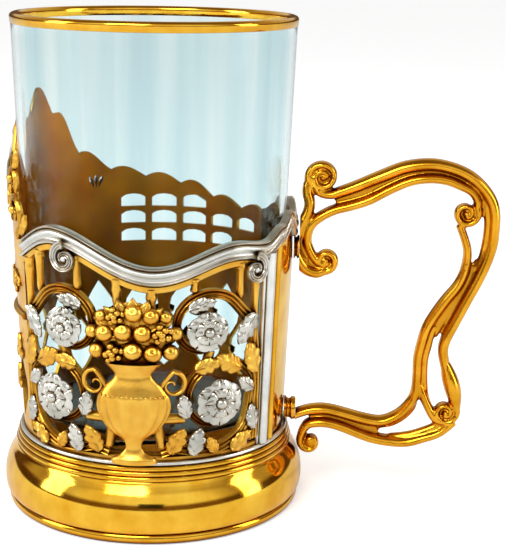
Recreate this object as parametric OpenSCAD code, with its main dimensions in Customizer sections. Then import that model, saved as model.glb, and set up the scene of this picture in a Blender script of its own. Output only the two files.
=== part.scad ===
// Tea glass holder with an openwork wall, a spun foot and a cast scroll handle, and its loose tea glass.
// Millimetres. +Z is up, the foot rests on z = 0, the handle points along +X and the front faces -Y.

/* [Tea glass] */
// Outer diameter of the glass at its lip
glass_d = 68; // [62:0.5:76]
// Height of the lip above the table
lip_z = 118.7; // [112:0.1:128]
// Wall of the glass
glass_wall = 1.5; // [1:0.1:2.2]
// Thickness of the bottom of the glass
glass_bottom = 5; // [3:0.5:8]
// Rounding of the outer bottom edge of the glass
glass_round = 3; // [1.5:0.5:5]
// Radius that the glass gains for each mm of height
glass_taper_share = 0.036; // [0.02:0.002:0.05]
// How far the gilt band stands out of the glass
gilt_t = 0.27; // [0.15:0.01:0.5]
// Height of the gilt band on the lip
gilt_h = 2.4; // [1.5:0.1:5]

/* [Wall] */
// Clearance between the glass and the wall
wall_gap = 1; // [0.6:0.1:2]
// Thickness of the wall
wall_t = 1.1; // [0.8:0.1:1.6]
// Height of the lowest point of the wave along the wall's top
wave_z = 65; // [58:0.5:70]
// Rise of the wave above its lowest point
wave_rise = 7.9; // [4:0.1:10]
// Height of the crest opposite the handle
crest_z = 99.3; // [90:0.1:105]
// Height of the small lobes along the crest
lobe_rise = 1.6; // [0.8:0.1:2.4]
// Height of the relief on the wall
relief_t = 1; // [0.6:0.1:1.6]

/* [Border] */
// Height of the border along the wave
border_h = 4.3; // [3:0.1:6]
// Thickness of the border, from the inside of the wall
border_t = 2.2; // [1.8:0.1:3]

/* [Foot] */
// Height of the foot
foot_h = 18; // [15:0.5:22]
// How far the foot stands out from the wall
foot_reach = 4.9; // [4.2:0.1:6]
// Width of each of the three mouldings
moulding_w = 0.67; // [0.5:0.01:0.8]
// Thickness of the plate on which the glass stands
floor_t = 1.2; // [0.8:0.1:2]
// Height of the bead around the foot of the wall
ring_h = 1.1; // [0.8:0.1:1.5]

/* [Handle] */
// Reach of the handle's centre line from the wall
handle_reach = 50; // [42:1:56]
// How far the handle's centre line climbs above the lowest point of the wave
handle_over = 20.1; // [16:0.1:24]
// Half width of a strand, seen from the side
strand_w = 1.3; // [1.1:0.05:1.5]
// Half depth of a strand, across the handle
strand_d = 2.3; // [1.8:0.1:3]
// Radius of the pads that join the handle to the wall
pad_r = 3; // [2.4:0.1:3.6]

/* [Hidden] */
overrun = 1;
skin = 0.03;
leaf_gap = 0.12;
seat_gap = 0.1;
$fn = 96;

// Angles around the axis, in degrees, at which one stretch of the wall ends and the next begins
back_a = -324;
front_a = -148;
column_a = -36;
strip_a = -28;
strip_end_a = 28;
column_end_a = 36;
wall_step_a = 4;
urn_a = -92;

// Radii that follow the glass
function glass_r(z) = glass_d / 2 - gilt_t - glass_taper_share * (lip_z - z);
function wall_r(z) = glass_r(z) + wall_gap;
function on_wall(a, z, d) = [(wall_r(z) + d) * cos(a), (wall_r(z) + d) * sin(a), z];

// A distance along the wall as an angle around the axis
function turn(u) = u / wall_r(wave_z) * 180 / PI;

// Value at a in a table of [angle, value] stops, eased from stop to stop
function ease(a, b, t) = a + (b - a) * (1 - cos(180 * t)) / 2;
function share_between(s, a, i) = min(1, max(0, (a - s[i][0]) / (s[i + 1][0] - s[i][0])));
function eased(s, a, i = 0) =
    i == len(s) - 2 || a <= s[i + 1][0]
        ? ease(s[i][1], s[i + 1][1], share_between(s, a, i))
        : eased(s, a, i + 1);

// The wave of the border and the outline of the crest, as shares of their rise
wave_shares = [[-324, 0.5], [-290, 0.7], [-255, 0.08], [-220, 0.7], [-185, 0.1], [-156, 0.2],
               [-126, 1], [-84, 0], [-51, 0.62], [-36, 0.5], [-24, 0.82], [-16, 1.16], [-6, 0.75],
               [6, 0.75], [16, 1.16], [24, 0.82], [36, 0.5]];
crest_shares = [[-324, 0.08], [-306, 0.07], [-293, 0.13], [-278, 0.22], [-260, 0.27], [-243, 0.33],
                [-228, 0.47], [-216, 0.76], [-203, 0.95], [-190, 0.76], [-178, 0.55], [-166, 0.45],
                [-158, 0.4], [-148, 0.1]];
lobe_count = 11;
lobe_a = (front_a - back_a) / lobe_count;
function wave_top(a) = wave_z + wave_rise * eased(wave_shares, a);
function wave_low(a) = wave_top(a) - border_h;
function wave_edge(a) = let (i = floor(a / wall_step_a), t = a / wall_step_a - i)
    wave_low(i * wall_step_a) * (1 - t) + wave_low((i + 1) * wall_step_a) * t - skin;
function lobe(a) = lobe_rise * abs(sin(180 * (a - back_a) / lobe_a));
function crest_line(a) = wave_z + (crest_z - wave_z) * eased(crest_shares, a);
function crest_top(a) = crest_line(a) + lobe(a);
function angles(a, b, step) = let (n = ceil((b - a) / step)) [for (i = [0:n]) a + (b - a) * i / n];

// A closed solid through rings of points, all with the same count
function loft_faces(n, m) = [
    for (i = [0:n - 2]) for (j = [0:m - 1])
        let (a = i * m + j, b = i * m + (j + 1) % m)
            each [[a, a + m, b + m], [a, b + m, b]],
    for (j = [1:m - 2]) [0, j, j + 1],
    for (j = [1:m - 2]) [(n - 1) * m, (n - 1) * m + j + 1, (n - 1) * m + j]
];
module loft(rings) {
    polyhedron([for (r = rings) each r], loft_faces(len(rings), len(rings[0])));
}

// A smooth curve through points of any kind, with k steps from each to the next
function curve_at(a, b, c, d, t) =
    (2 * b + (c - a) * t + (2 * a - 5 * b + 4 * c - d) * t * t
        + (3 * b - a - 3 * c + d) * t * t * t) / 2;
function smooth(p, k) = let (n = len(p) - 1) [
    for (i = [0:n - 1]) for (s = [0:k - 1])
        curve_at(p[max(i - 1, 0)], p[i], p[i + 1], p[min(i + 2, n)], s / k),
    p[n]
];

// A band of the wall between two heights, given as functions' values at each angle
module wall_band(turns, lows, highs, d0, d1) {
    loft([for (i = [0:len(turns) - 1]) [
        on_wall(turns[i], lows[i], d0),
        on_wall(turns[i], highs[i], d0),
        on_wall(turns[i], highs[i], d1),
        on_wall(turns[i], lows[i], d1)
    ]]);
}

// A stem that lies on the wall. Each point is [along, height, half width, relief].
function heading(p, i) = let (
    a = p[max(i - 1, 0)], b = p[min(i + 1, len(p) - 1)],
    v = [b[0] - a[0], b[1] - a[1]]) v / norm(v);
module stem(at_a, path, d0, sides = 4) {
    loft([for (i = [0:len(path) - 1])
        let (p = path[i], h = heading(path, i))
            [for (s = [sides:-1:0])
                let (across = -p[2] * cos(180 * s / sides), rise = p[3] * sin(180 * s / sides))
                    on_wall(at_a + turn(p[0] - h[1] * across), p[1] + h[0] * across, d0 + rise)]
    ]);
}

// A spiral of a stem around [u, z] that narrows to its eye
function coil(u, z, r, from, sweep, w, t) = let (n = ceil(abs(sweep) / 30)) [
    for (i = [0:n]) let (s = i / n, q = r * (1 - s * coil_share))
        [u + q * cos(from + sweep * s), z + q * sin(from + sweep * s), w * (1 - s / 2), t]
];
coil_share = 0.88;

// A pointed leaf on the wall, from its stalk at [u, z] along an angle, with a raised midrib
module leaf(at_a, u, z, angle, long, wide, d0, t) {
    edge_shares = [[0, 0.12], [0.3, 0.5], [0.62, 0.42], [1, 0.02]];
    function spot(x, y, d) = on_wall(
        at_a + turn(u + x * cos(angle) - y * sin(angle)),
        z + x * sin(angle) + y * cos(angle), d0 + d);
    loft([for (s = edge_shares) [
        spot(long * s[0], wide * s[1], 0),
        spot(long * s[0], 0, t * (s[1] + s[1])),
        spot(long * s[0], -wide * s[1], 0)]]);
}

// A petalled blossom on the wall: rings of points with a lobe for each petal, and a domed heart
ring_shares = [[1, 0], [1, 0.5], [0.62, 1], [0.3, 0.7], [0.3, 1.3], [0.1, 1.7]];
module rosette(at_a, u, z, r, d0, petals = 6) {
    m = 3 * petals;
    loft([for (s = ring_shares) [for (j = [0:m - 1])
        let (lobed = s[0] > 0.5 ? (j % 3 == 0 ? 0.72 : 1) : 1, q = r * s[0] * lobed, g = 360 * j / m)
            on_wall(at_a + turn(u + q * cos(g)), z + q * sin(g), d0 + relief_t * s[1])]]);
}

// Foot: three mouldings, a cove, a bulging body, a groove and a bead
wall_out = wall_r(foot_h) + wall_t;
flange_r = wall_out + ring_h * 0.9;
neck_r = flange_r + 3 * moulding_w;
foot_r = wall_out + foot_reach;
moulding_h = 0.9;
cove_sag = 0.4;
body_z = foot_h / 3;
body_half = foot_h * 0.195;
bead_half = foot_h * 0.067;
bead_t = foot_h * 0.055;
foot_wall = 2;
hollow_r = foot_r - bead_t - foot_wall * 1.3;
ledge = 1;
floor_r = wall_r(foot_h) - wall_gap / 2;
body_r = neck_r + (foot_r - neck_r) / 2;
neck_z = foot_h - 3 * moulding_h;
function arc_points(r, z, rr, rz, from, to, n) =
    [for (i = [0:n]) let (t = from + (to - from) * i / n) [r + rr * cos(t), z + rz * sin(t)]];
foot_outline = concat(
    [[flange_r, foot_h]],
    [for (i = [0:2]) each arc_points(flange_r + i * moulding_w, foot_h - (i + 1) * moulding_h,
                                     moulding_w, moulding_h, 90, 0, 4)],
    [for (i = [1:7]) let (s = i / 8)
        [neck_r + (body_r - neck_r) * s - cove_sag * sin(180 * s),
         neck_z + (body_z + body_half - neck_z) * s]],
    arc_points(body_r, body_z, foot_r - body_r, body_half, 90, -90, 12),
    arc_points(body_r - bead_t, bead_half, bead_t, bead_half, 90, -90, 8)
);
module foot() {
    color("gold") rotate_extrude() difference() {
        polygon(concat([[0, 0], [0, foot_h]], foot_outline));
        // Seat of the floor plate, the ledge under it and the hollow below
        translate([0, foot_h - floor_t]) square([floor_r, floor_t + overrun]);
        polygon([[0, -overrun], [hollow_r, -overrun], [hollow_r, body_z + body_half],
                 [floor_r - ledge, neck_z], [floor_r - ledge, foot_h], [0, foot_h]]);
    }
}

module floor_plate() {
    color("goldenrod") translate([0, 0, foot_h - floor_t])
        cylinder(r = floor_r - skin, h = floor_t);
}

// Silvered bead around the bottom of the wall
module lower_ring() {
    inner_r = wall_r(foot_h + ring_h) + wall_t + skin;
    color("silver") translate([0, 0, foot_h]) rotate_extrude()
        polygon(concat([[inner_r, 0]],
                       [[flange_r - ring_h / 2, 0]],
                       arc_points(flange_r - ring_h / 2, ring_h / 2, ring_h / 2, ring_h / 2,
                                  -90, 90, 6),
                       [[inner_r, ring_h]]));
}

// Openwork front of the wall: two rails and a pair of scrolled stems on each side of the urn
rail_h = 1.6;
stem_w = 1.25;
stem_t = wall_t + relief_t;
stem_back = wall_t / 6;
stem_low = foot_h + ring_h;
stem_tall = wave_z - border_h - stem_low;
half_front = (column_a - front_a) / 2 / turn(1);
// Points are shares of [half the front's width, height between ring and border]
lower_shares = [[0.19, 0.05], [0.3, 0.07], [0.45, 0.05], [0.68, 0.06], [0.86, 0.16], [0.92, 0.36]];
lower_eye_share = [0.6, 0.33];
upper_shares = [[0.95, 0.05], [0.95, 0.3], [0.94, 0.52], [0.89, 0.76]];
upper_eye_share = [0.5, 0.745];
tie_shares = [[[0.52, 0.54], [0.55, 0.62]], [[0.2, 0.08], [0.14, 0.3]], [[0.28, 0.72], [0.1, 0.6]],
              [[0.36, 0.24], [0.14, 0.24]], [[0.92, 0.36], [0.95, 0.4]]];
riser_shares = [[0.42, 0.96], [0.78, 0.9], [0.93, 0.6], [0.12, 0.62]];
bud_shares = [lower_eye_share, upper_eye_share];
scroll_r = sqrt(half_front * stem_tall) * 0.307;
bud_r = stem_w * 0.9;
bud_back = stem_back + bud_r;
function front_point(side, s) = [side * half_front * s[0], stem_low + stem_tall * s[1]];
function front_stem(side, shares, t) =
    [for (s = shares) concat(front_point(side, s), [stem_w, t])];
function mirrored(side, path) = [for (p = path) [side * p[0], p[1], p[2], p[3]]];
module front_half(side) {
    low_eye = front_point(1, lower_eye_share);
    top_eye = front_point(1, upper_eye_share);
    t = stem_t - stem_back;
    stem(urn_a, concat(smooth(front_stem(side, lower_shares, t), 2), mirrored(side,
         coil(low_eye[0], low_eye[1], scroll_r * 0.95, 25, 420, stem_w, t))), stem_back);
    stem(urn_a, concat(smooth(front_stem(side, upper_shares, t), 2), mirrored(side,
         coil(top_eye[0], top_eye[1], scroll_r * 0.85, 35, 400, stem_w, t))), stem_back);
    // Short ties between the scrolls and risers to the top rail
    tie_t = t - relief_t / 2;
    for (tie = tie_shares)
        stem(urn_a, front_stem(side, tie, tie_t), stem_back * 1.5);
    for (s = riser_shares) {
        foot_point = front_point(side, s);
        rail_z = wave_low(urn_a + turn(foot_point[0])) - rail_h / 2;
        stem(urn_a, [concat(foot_point, [stem_w, tie_t]),
                     [foot_point[0], rail_z, stem_w, tie_t]], stem_back * 1.5);
    }
    // Buds in the eyes
    for (s = bud_shares) {
        p = front_point(side, s);
        hull() for (d = [bud_back, bud_back + stem_back / 2])
            translate(on_wall(urn_a + turn(p[0]), p[1], d)) sphere(bud_r, $fn = 8);
    }
}
module wall_front() {
    a = angles(front_a, column_a, wall_step_a);
    tops = [for (t = a) wave_edge(t)];
    color("gold") union() {
        wall_band(a, [for (t = a) foot_h], [for (t = a) stem_low + rail_h * 0.7], 0, wall_t);
        wall_band(a, [for (t = tops) t - rail_h], tops, 0, wall_t);
        front_half(1);
        front_half(-1);
    }
}

// Pierced back of the wall: a lattice of pointed openings, panes above it, and slots in a small fan.
// Each fan of petals is [angle, length share, spread, petals].
fan_shares = [[-203, 0.5, 64, 5], [-173, 0.25, 60, 4], [-236, 0.13, 70, 4]];
slotted_fan = 2;
slot_shares = [[-1.5, 0], [-0.8, -0.45], [0.4, -1], [1, -0.95], [1.5, -0.5], [1.7, 0], [1.5, 0.5],
               [1, 0.95], [0.4, 1], [-0.8, 0.45]];
function fan_angle(f, i) = 90 + f[2] * (i / (f[3] - 1) - 0.5);
crest_rise = crest_z - wave_z;
crest_base = wave_z + wave_rise * 0.7;
module radial_cut(a, z) {
    rotate([0, 0, a]) translate([wall_r(z) - wall_t * 2, 0, z]) rotate([90, 0, 90])
        linear_extrude(crest_z / 8) children();
}
module fan_slots(f) {
    long = crest_rise * f[1];
    mid = long * 0.66;
    wide = long * sin(f[2] / (f[3] - 1) / 2) * 0.55;
    half = long * 0.3 - wide / 2;
    for (i = [0:f[3] - 2]) {
        g = fan_angle(f, i + 0.5);
        radial_cut(f[0] + turn(mid * cos(g)), crest_base + mid * sin(g))
            rotate([0, 0, g])
                polygon([for (s = slot_shares) [half * s[0], wide * s[1]]]);
    }
}
lattice_columns = 8;
lattice_rows = 2;
lattice_end_a = 1;
lattice_a = (front_a - back_a - 2 * lattice_end_a) / lattice_columns;
lattice_share = 0.67;
lattice_tall = stem_tall * lattice_share;
lattice_z = lattice_tall / (lattice_rows + 1);
lattice_low = stem_low + rail_h;
opening_shares = [[0, 1], [0.5, 0.62], [0.9, 0.28], [1, 0], [0.9, -0.28], [0.5, -0.62], [0, -1],
                  [-0.5, -0.62], [-0.9, -0.28], [-1, 0], [-0.9, 0.28], [-0.5, 0.62]];
opening_w = 4.6;
function lattice_spot(row, column) =
    [back_a + lattice_end_a + lattice_a * (column + (row % 2 == 0 ? 0.5 : 0)),
     lattice_low + lattice_z * (row + 1)];
module lattice_openings() {
    for (row = [0:lattice_rows - 1])
        for (column = [(row % 2 == 0 ? 0 : 1):lattice_columns - 1]) {
            p = lattice_spot(row, column);
            radial_cut(p[0], p[1])
                polygon([for (s = opening_shares) [opening_w * s[0], lattice_z * 0.86 * s[1]]]);
        }
}
// Rows of panes with low arches: [height over the wave as a share of the crest's rise, count]
pane_rows = [[0.09, 3], [-0.04, 5], [-0.18, 4]];
pane_start_a = -254;
pane_a = 14.5;
pane_w = crest_rise * 0.097;
pane_h = crest_rise * 0.05;
arch_shares = [[-1, -1], [1, -1], [1, 0.4], [0.6, 0.85], [0, 1], [-0.6, 0.85], [-1, 0.4]];
module panes() {
    for (row = pane_rows) for (i = [0:row[1] - 1])
        radial_cut(pane_start_a - pane_a * i, wave_z + crest_rise * row[0])
            polygon([for (s = arch_shares) [pane_w * s[0], pane_h * s[1]]]);
}
module crest_cut(i) {
    half = lobe_a / 2;
    mid = back_a + lobe_a * (i + 0.5);
    middle_r = wall_r(crest_z) + wall_t / 2;
    far = (middle_r + wall_t) * sin(half * 1.06);
    top = crest_z + lobe_rise + overrun;
    radial_cut(mid, 0) polygon(concat(
        [for (t = [-1:0.25:1]) [middle_r * sin(half * t), crest_top(mid + half * t)]],
        [[far, crest_top(mid + half) + skin], [far, top],
         [-far, top], [-far, crest_top(mid - half) + skin]]));
}
module wall_back() {
    top = crest_z + lobe_rise;
    color("darkgoldenrod") difference() {
        rotate_extrude(angle = front_a - back_a, start = back_a)
            polygon([[wall_r(foot_h), foot_h], [wall_r(foot_h) + wall_t, foot_h],
                     [wall_r(top) + wall_t, top], [wall_r(top), top]]);
        for (i = [0:lobe_count - 1]) crest_cut(i);
        fan_slots(fan_shares[slotted_fan]);
        lattice_openings();
        panes();
    }
}

// Plain strip that closes the wall under the handle
module seam_strip() {
    a = angles(strip_a, strip_end_a, wall_step_a);
    color("gold") wall_band(a, [for (t = a) foot_h], [for (t = a) wave_edge(t)], 0, wall_t);
}

// Half-round silvered columns beside the strip
module column(from, to) {
    a = angles(from, to, (to - from) / 6);
    depth = [for (t = a) wall_t + relief_t * 1.4 * sin(180 * (t - from) / (to - from))];
    base = foot_h + ring_h + skin;
    color("silver") loft([for (i = [0:len(a) - 1]) [
        on_wall(a[i], base, 0),
        on_wall(a[i], wave_edge(a[i]), 0),
        on_wall(a[i], wave_edge(a[i]), depth[i]),
        on_wall(a[i], base, depth[i])
    ]]);
}
module column_front() { column(column_a, strip_a); }
module column_back() { column(strip_end_a, column_end_a); }

// Section of the border as shares of [thickness, height], from the inner edges outwards
border_shares = [[0.72, -1], [0.96, -0.88], [0.74, -0.7], [0.98, -0.46], [0.94, -0.24], [0.7, -0.2],
                 [0.82, -0.07], [0.6, 0]];
module border(from, to) {
    color("silver") loft([for (a = angles(from, to, wall_step_a)) concat(
        [on_wall(a, wave_top(a), 0)],
        [for (i = [len(border_shares) - 1:-1:0])
            on_wall(a, wave_top(a) + border_h * border_shares[i][1],
                    border_t * border_shares[i][0])],
        [on_wall(a, wave_low(a), 0)])]);
}
module border_front() { border(front_a, column_a); }
// Edging outside the crest, under its lobes, that carries the border on round the back
edging_h = border_h / 2;
edging_t = border_t * 0.9;
finial_a = -156;
finial_span_a = 12;
module border_back() {
    color("silver") loft([for (a = angles(back_a, finial_a - finial_span_a, lobe_a / 4))
        [for (s = [[0, 0], [0, 0.5], [-0.2, 0.9], [-0.5, 1], [-0.8, 0.9], [-1, 0.5], [-1, 0]])
            on_wall(a, crest_line(a) + edging_h * s[0],
                    wall_t + 2 * skin + (edging_t - wall_t) * s[1])]]);
}
module border_handle() { border(column_a, column_end_a); }

// Silvered volutes that curl out of the border over the openwork
volute_w = 0.9;
module border_volutes() {
    left_a = -119;
    right_a = -43;
    d0 = stem_t + skin;
    color("silver") {
        stem(left_a, coil(0, wave_low(left_a) - border_h / 2, border_h * 0.75, 100, 480, volute_w,
                          relief_t), d0);
        stem(right_a, coil(0, wave_low(right_a) - border_h / 2, border_h * 0.75, 80, -480, volute_w,
                           relief_t), d0);
    }
}

// Handle: strands in the XZ plane. Points are shares of [reach, rise].
handle_x = neck_r - 2 * moulding_w;
handle_z = body_z + bead_half * 3.4;
handle_rise = wave_z + handle_over - handle_z;
mount_shares = [[0.015, 0.74], [0.035, 0.78], [0.065, 0.82], [0.075, 0.855], [0.06, 0.89],
                [0.045, 0.93], [0.06, 0.96], [0.1, 0.98], [0.135, 0.98], [0.175, 0.97],
                [0.19, 0.95], [0.175, 0.925], [0.145, 0.92], [0.125, 0.93], [0.13, 0.945]];
outer_shares = [[0.085, 0.945], [0.095, 0.915], [0.125, 0.89], [0.175, 0.885], [0.22, 0.895],
                [0.28, 0.91], [0.35, 0.93], [0.435, 0.955], [0.53, 0.98], [0.645, 0.99],
                [0.745, 0.98], [0.835, 0.955], [0.905, 0.915], [0.95, 0.87], [0.965, 0.825],
                [0.965, 0.775], [0.96, 0.73], [0.935, 0.67], [0.895, 0.605], [0.855, 0.55],
                [0.82, 0.5], [0.785, 0.45], [0.76, 0.41], [0.75, 0.375], [0.76, 0.335],
                [0.78, 0.29], [0.81, 0.235], [0.835, 0.195], [0.815, 0.15], [0.78, 0.135],
                [0.745, 0.155], [0.755, 0.175]];
inner_shares = [[0.14, 0.655], [0.115, 0.665], [0.085, 0.695], [0.065, 0.735], [0.08, 0.78],
                [0.125, 0.81], [0.195, 0.835], [0.275, 0.85], [0.36, 0.87], [0.455, 0.905],
                [0.555, 0.935], [0.65, 0.945], [0.73, 0.94], [0.79, 0.925], [0.85, 0.905],
                [0.885, 0.86], [0.88, 0.82], [0.835, 0.805], [0.795, 0.815], [0.785, 0.84],
                [0.805, 0.855], [0.82, 0.84]];
hook_shares = [[0.005, 0.725], [0.02, 0.68], [0.06, 0.64], [0.115, 0.625], [0.17, 0.635],
               [0.195, 0.66], [0.182, 0.692], [0.155, 0.706], [0.136, 0.688], [0.145, 0.665]];
grip_shares = [[0.8, 0.795], [0.825, 0.755], [0.845, 0.705], [0.835, 0.645], [0.805, 0.595],
               [0.755, 0.55], [0.705, 0.5], [0.665, 0.45], [0.645, 0.4], [0.63, 0.345],
               [0.63, 0.29], [0.625, 0.23], [0.6, 0.19], [0.545, 0.15], [0.465, 0.125],
               [0.38, 0.13], [0.29, 0.145], [0.195, 0.16], [0.125, 0.16], [0.065, 0.15],
               [0.015, 0.135], [-0.015, 0.12]];
spur_shares = [[0.635, 0.265], [0.655, 0.23], [0.685, 0.185], [0.725, 0.14], [0.78, 0.125]];
base_shares = [[0.82, 0.13], [0.75, 0.09], [0.67, 0.07], [0.59, 0.055], [0.51, 0.055],
               [0.415, 0.065], [0.33, 0.085], [0.25, 0.105], [0.18, 0.115], [0.105, 0.11],
               [0.08, 0.09], [0.062, 0.065], [0.067, 0.035], [0.09, 0.02], [0.125, 0.025],
               [0.145, 0.045], [0.135, 0.065], [0.11, 0.07], [0.095, 0.055], [0.105, 0.04]];
// Fillers that broaden a strand on its inner side
filler_shares = [[[0.87, 0.93], [0.915, 0.885], [0.933, 0.83], [0.936, 0.775], [0.925, 0.715],
                  [0.895, 0.65]],
                 [[0.7, 0.455], [0.68, 0.4], [0.662, 0.345], [0.66, 0.29], [0.668, 0.235],
                  [0.69, 0.19]],
                 [[0.5, 0.072], [0.59, 0.075], [0.67, 0.092], [0.745, 0.115], [0.79, 0.14]],
                 [[0.44, 0.105], [0.53, 0.125], [0.6, 0.165], [0.628, 0.21]],
                 [[0.03, 0.75], [0.035, 0.71], [0.06, 0.67], [0.11, 0.645]]];
// Webs that fill the groove between two strands
web_shares = [[[0.2, 0.86], [0.35, 0.9], [0.54, 0.957], [0.65, 0.968], [0.75, 0.96], [0.84, 0.93]],
              [[0.9, 0.68], [0.855, 0.61], [0.79, 0.54], [0.73, 0.47], [0.7, 0.42]],
              [[0.45, 0.095], [0.36, 0.107], [0.26, 0.125], [0.17, 0.137], [0.1, 0.13]]];
function handle_point(s) = [handle_x + handle_reach * s[0], handle_z + handle_rise * s[1]];
module strand(shares, k, w, d) {
    p = smooth([for (s = shares) handle_point(s)], k);
    n = len(p) - 1;
    loft([for (i = [0:n])
        let (h = heading(p, i), fade = 1 - 0.3 * pow(abs(2 * i / n - 1), 6))
            [for (s = [0:5]) let (c = w * fade * cos(60 * s), y = d * fade * sin(60 * s))
                [p[i][0] + h[1] * c, y, p[i][1] - h[0] * c]]]);
}
// Round eye at the end of a volute, wider than its strand
module eye(s, r) {
    p = handle_point(s);
    hull() for (side = [-1, 1])
        translate([p[0], side * strand_d * 0.55, p[1]]) sphere(r, $fn = 8);
}
pad_x = max(handle_x, wall_r(wave_z + wave_rise) + border_t) + 3 * skin;
upper_pad_z = handle_z + handle_rise * 0.71;
lower_pad_z = stem_low + pad_r + skin;
module handle() {
    color("gold") intersection() {
        union() {
            strand(mount_shares, 1, strand_w, strand_d);
            strand(outer_shares, 1, strand_w * 1.15, strand_d);
            strand(inner_shares, 1, strand_w, strand_d);
            strand(hook_shares, 1, strand_w, strand_d);
            strand(grip_shares, 1, strand_w, strand_d);
            strand(spur_shares, 1, strand_w, strand_d);
            strand(base_shares, 1, strand_w * 1.1, strand_d);
            for (w = filler_shares)
                strand(w, 1, strand_w * 0.8, strand_d * 0.9);
            for (w = web_shares)
                strand(w, 1, strand_w * 1.2, strand_d * 0.55);
            for (s = [[0.13, 0.945], [0.145, 0.665], [0.815, 0.84], [0.755, 0.17], [0.105, 0.045]])
                eye(s, strand_w * 1.26);
            // Thumb leaf that overlaps the outer strand above its last volute
            for (i = [0:2])
                hull() for (s = [[0.763, 0.335], [0.795, 0.27], [0.832, 0.2], [0.83, 0.165]])
                    translate([handle_point(s)[0] + strand_w / 4, (i - 1) * strand_d / 2,
                               handle_point(s)[1]])
                        sphere(strand_w, $fn = 8);
        }
        // The strands end flat against the pads
        translate([pad_x, -handle_reach, 0])
            cube([handle_reach * 2, handle_reach * 2, lip_z]);
    }
}
module pad(z, x) {
    pad_back = wall_r(z + pad_r) + wall_t + skin;
    color("gold") translate([pad_back, 0, z]) rotate([0, 90, 0])
        cylinder(r = pad_r, h = x - pad_back - skin);
}
module handle_pad_upper() { pad(upper_pad_z, pad_x); }
module handle_pad_lower() { pad(lower_pad_z, pad_x); }

// Gilt urn on the front, as shares of [height, half width]
urn_shares = [[0, 0.62], [0.05, 0.6], [0.1, 0.35], [0.16, 0.22], [0.24, 0.3], [0.34, 0.7], [0.5, 0.98],
              [0.64, 1], [0.76, 0.8], [0.86, 0.52], [0.92, 0.55], [1, 0.8]];
urn_h = stem_tall * 0.58;
urn_w = urn_h * 0.33;
urn_t = urn_w * 0.28;
// How far a straight back of half width w sinks into the round wall
function sag(w) = w * w / wall_r(wave_z) / 2;
urn_z = stem_low + skin;
module urn() {
    color("gold") stem(urn_a, [for (s = smooth(urn_shares, 2))
        [0, urn_z + urn_h * s[0], urn_w * s[1], urn_t * (0.4 + 0.6 * s[1])]],
                         stem_t + skin + sag(urn_w) * 0.6, 8);
}

// Domed fruit with a flat back
dome_shares = [[1, 0], [0.97, 0.35], [0.75, 0.75], [0.35, 0.98]];
module dome(at_a, u, z, r, d0, t) {
    m = 10;
    loft([for (s = dome_shares) [for (j = [0:m - 1])
        let (q = r * s[0], g = 360 * j / m)
            on_wall(at_a + turn(u + q * cos(g)), z + q * sin(g), d0 + t * s[1])]]);
}

// Fruit and leaves heaped in the urn, as shares of [half width, height, radius]
fruit_shares = [[-0.78, 1.12, 0.27], [0, 1.16, 0.3], [0.78, 1.12, 0.27], [-0.4, 1.3, 0.26],
                [0.42, 1.31, 0.26], [0, 1.47, 0.26], [-1.1, 1.27, 0.22], [1.1, 1.27, 0.22],
                [-0.72, 1.46, 0.22], [0.74, 1.47, 0.22]];
heap_shares = [[1.03, 0.6], [1.15, 0.75], [1.35, 0.75], [1.5, 0.5], [1.6, 0.2]];
module bouquet() {
    back = stem_t + skin;
    color("gold") union() {
        stem(urn_a, [for (s = heap_shares) [0, urn_z + urn_h * s[0], urn_w * s[1], relief_t]],
             back + relief_t * 0.55);
        for (i = [0:len(fruit_shares) - 1]) let (f = fruit_shares[i])
            hull() dome(urn_a, urn_w * f[0], urn_z + urn_h * f[1], urn_w * f[2],
                 back + relief_t * (0.2 + 0.1 * (i % 3)), urn_w * f[2] * 1.1);
        // Leaf tips between the fruit
        for (i = [0:8])
            leaf(urn_a, 0, urn_z + urn_h * 1.22, 20 * i + 10, urn_h * 0.42, urn_h * 0.13,
                 back + relief_t * 0.15 * (1 + i % 2), relief_t);
    }
}

// Silvered blossoms in the eyes of the scrolls
module rosettes() {
    color("silver") for (side = [-1, 1]) {
        low_eye = front_point(side, lower_eye_share);
        top_eye = front_point(side, upper_eye_share);
        back = bud_back + stem_back / 2 + bud_r + sag(scroll_r / 2) * 0.7;
        rosette(urn_a, low_eye[0], low_eye[1], scroll_r * 0.5, back);
        rosette(urn_a, top_eye[0], top_eye[1], scroll_r * 0.42, back, 5);
    }
}

// Leaves along the stems: [along share, height share, angle, length share]
leaf_shares = [[0.42, 0.03, 75, 0.17], [0.93, 0.12, 100, 0.16], [0.9, 0.36, 140, 0.14],
               [0.37, 0.25, 100, 0.15], [0.9, 0.8, 235, 0.2], [0.37, 0.87, 15, 0.16]];
gilt_leaf_shares = [[0.72, 0.03, 30, 0.17], [0.25, 0.05, 60, 0.17], [0.93, 0.46, 110, 0.2],
                    [0.6, 0.03, 120, 0.12], [0.42, 0.53, 10, 0.16], [0.78, 0.5, 150, 0.19]];
module leaves(shares, d0) {
    for (side = [-1, 1]) for (s = shares)
        leaf(urn_a, front_point(side, s)[0], front_point(side, s)[1],
             side > 0 ? s[2] : 180 - s[2], stem_tall * s[3], stem_tall * s[3] * 0.55, d0, relief_t);
}
module silver_leaves() { color("silver") leaves(leaf_shares, stem_t + leaf_gap); }
module gilt_leaves() { color("gold") leaves(gilt_leaf_shares, stem_t + leaf_gap); }

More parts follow.
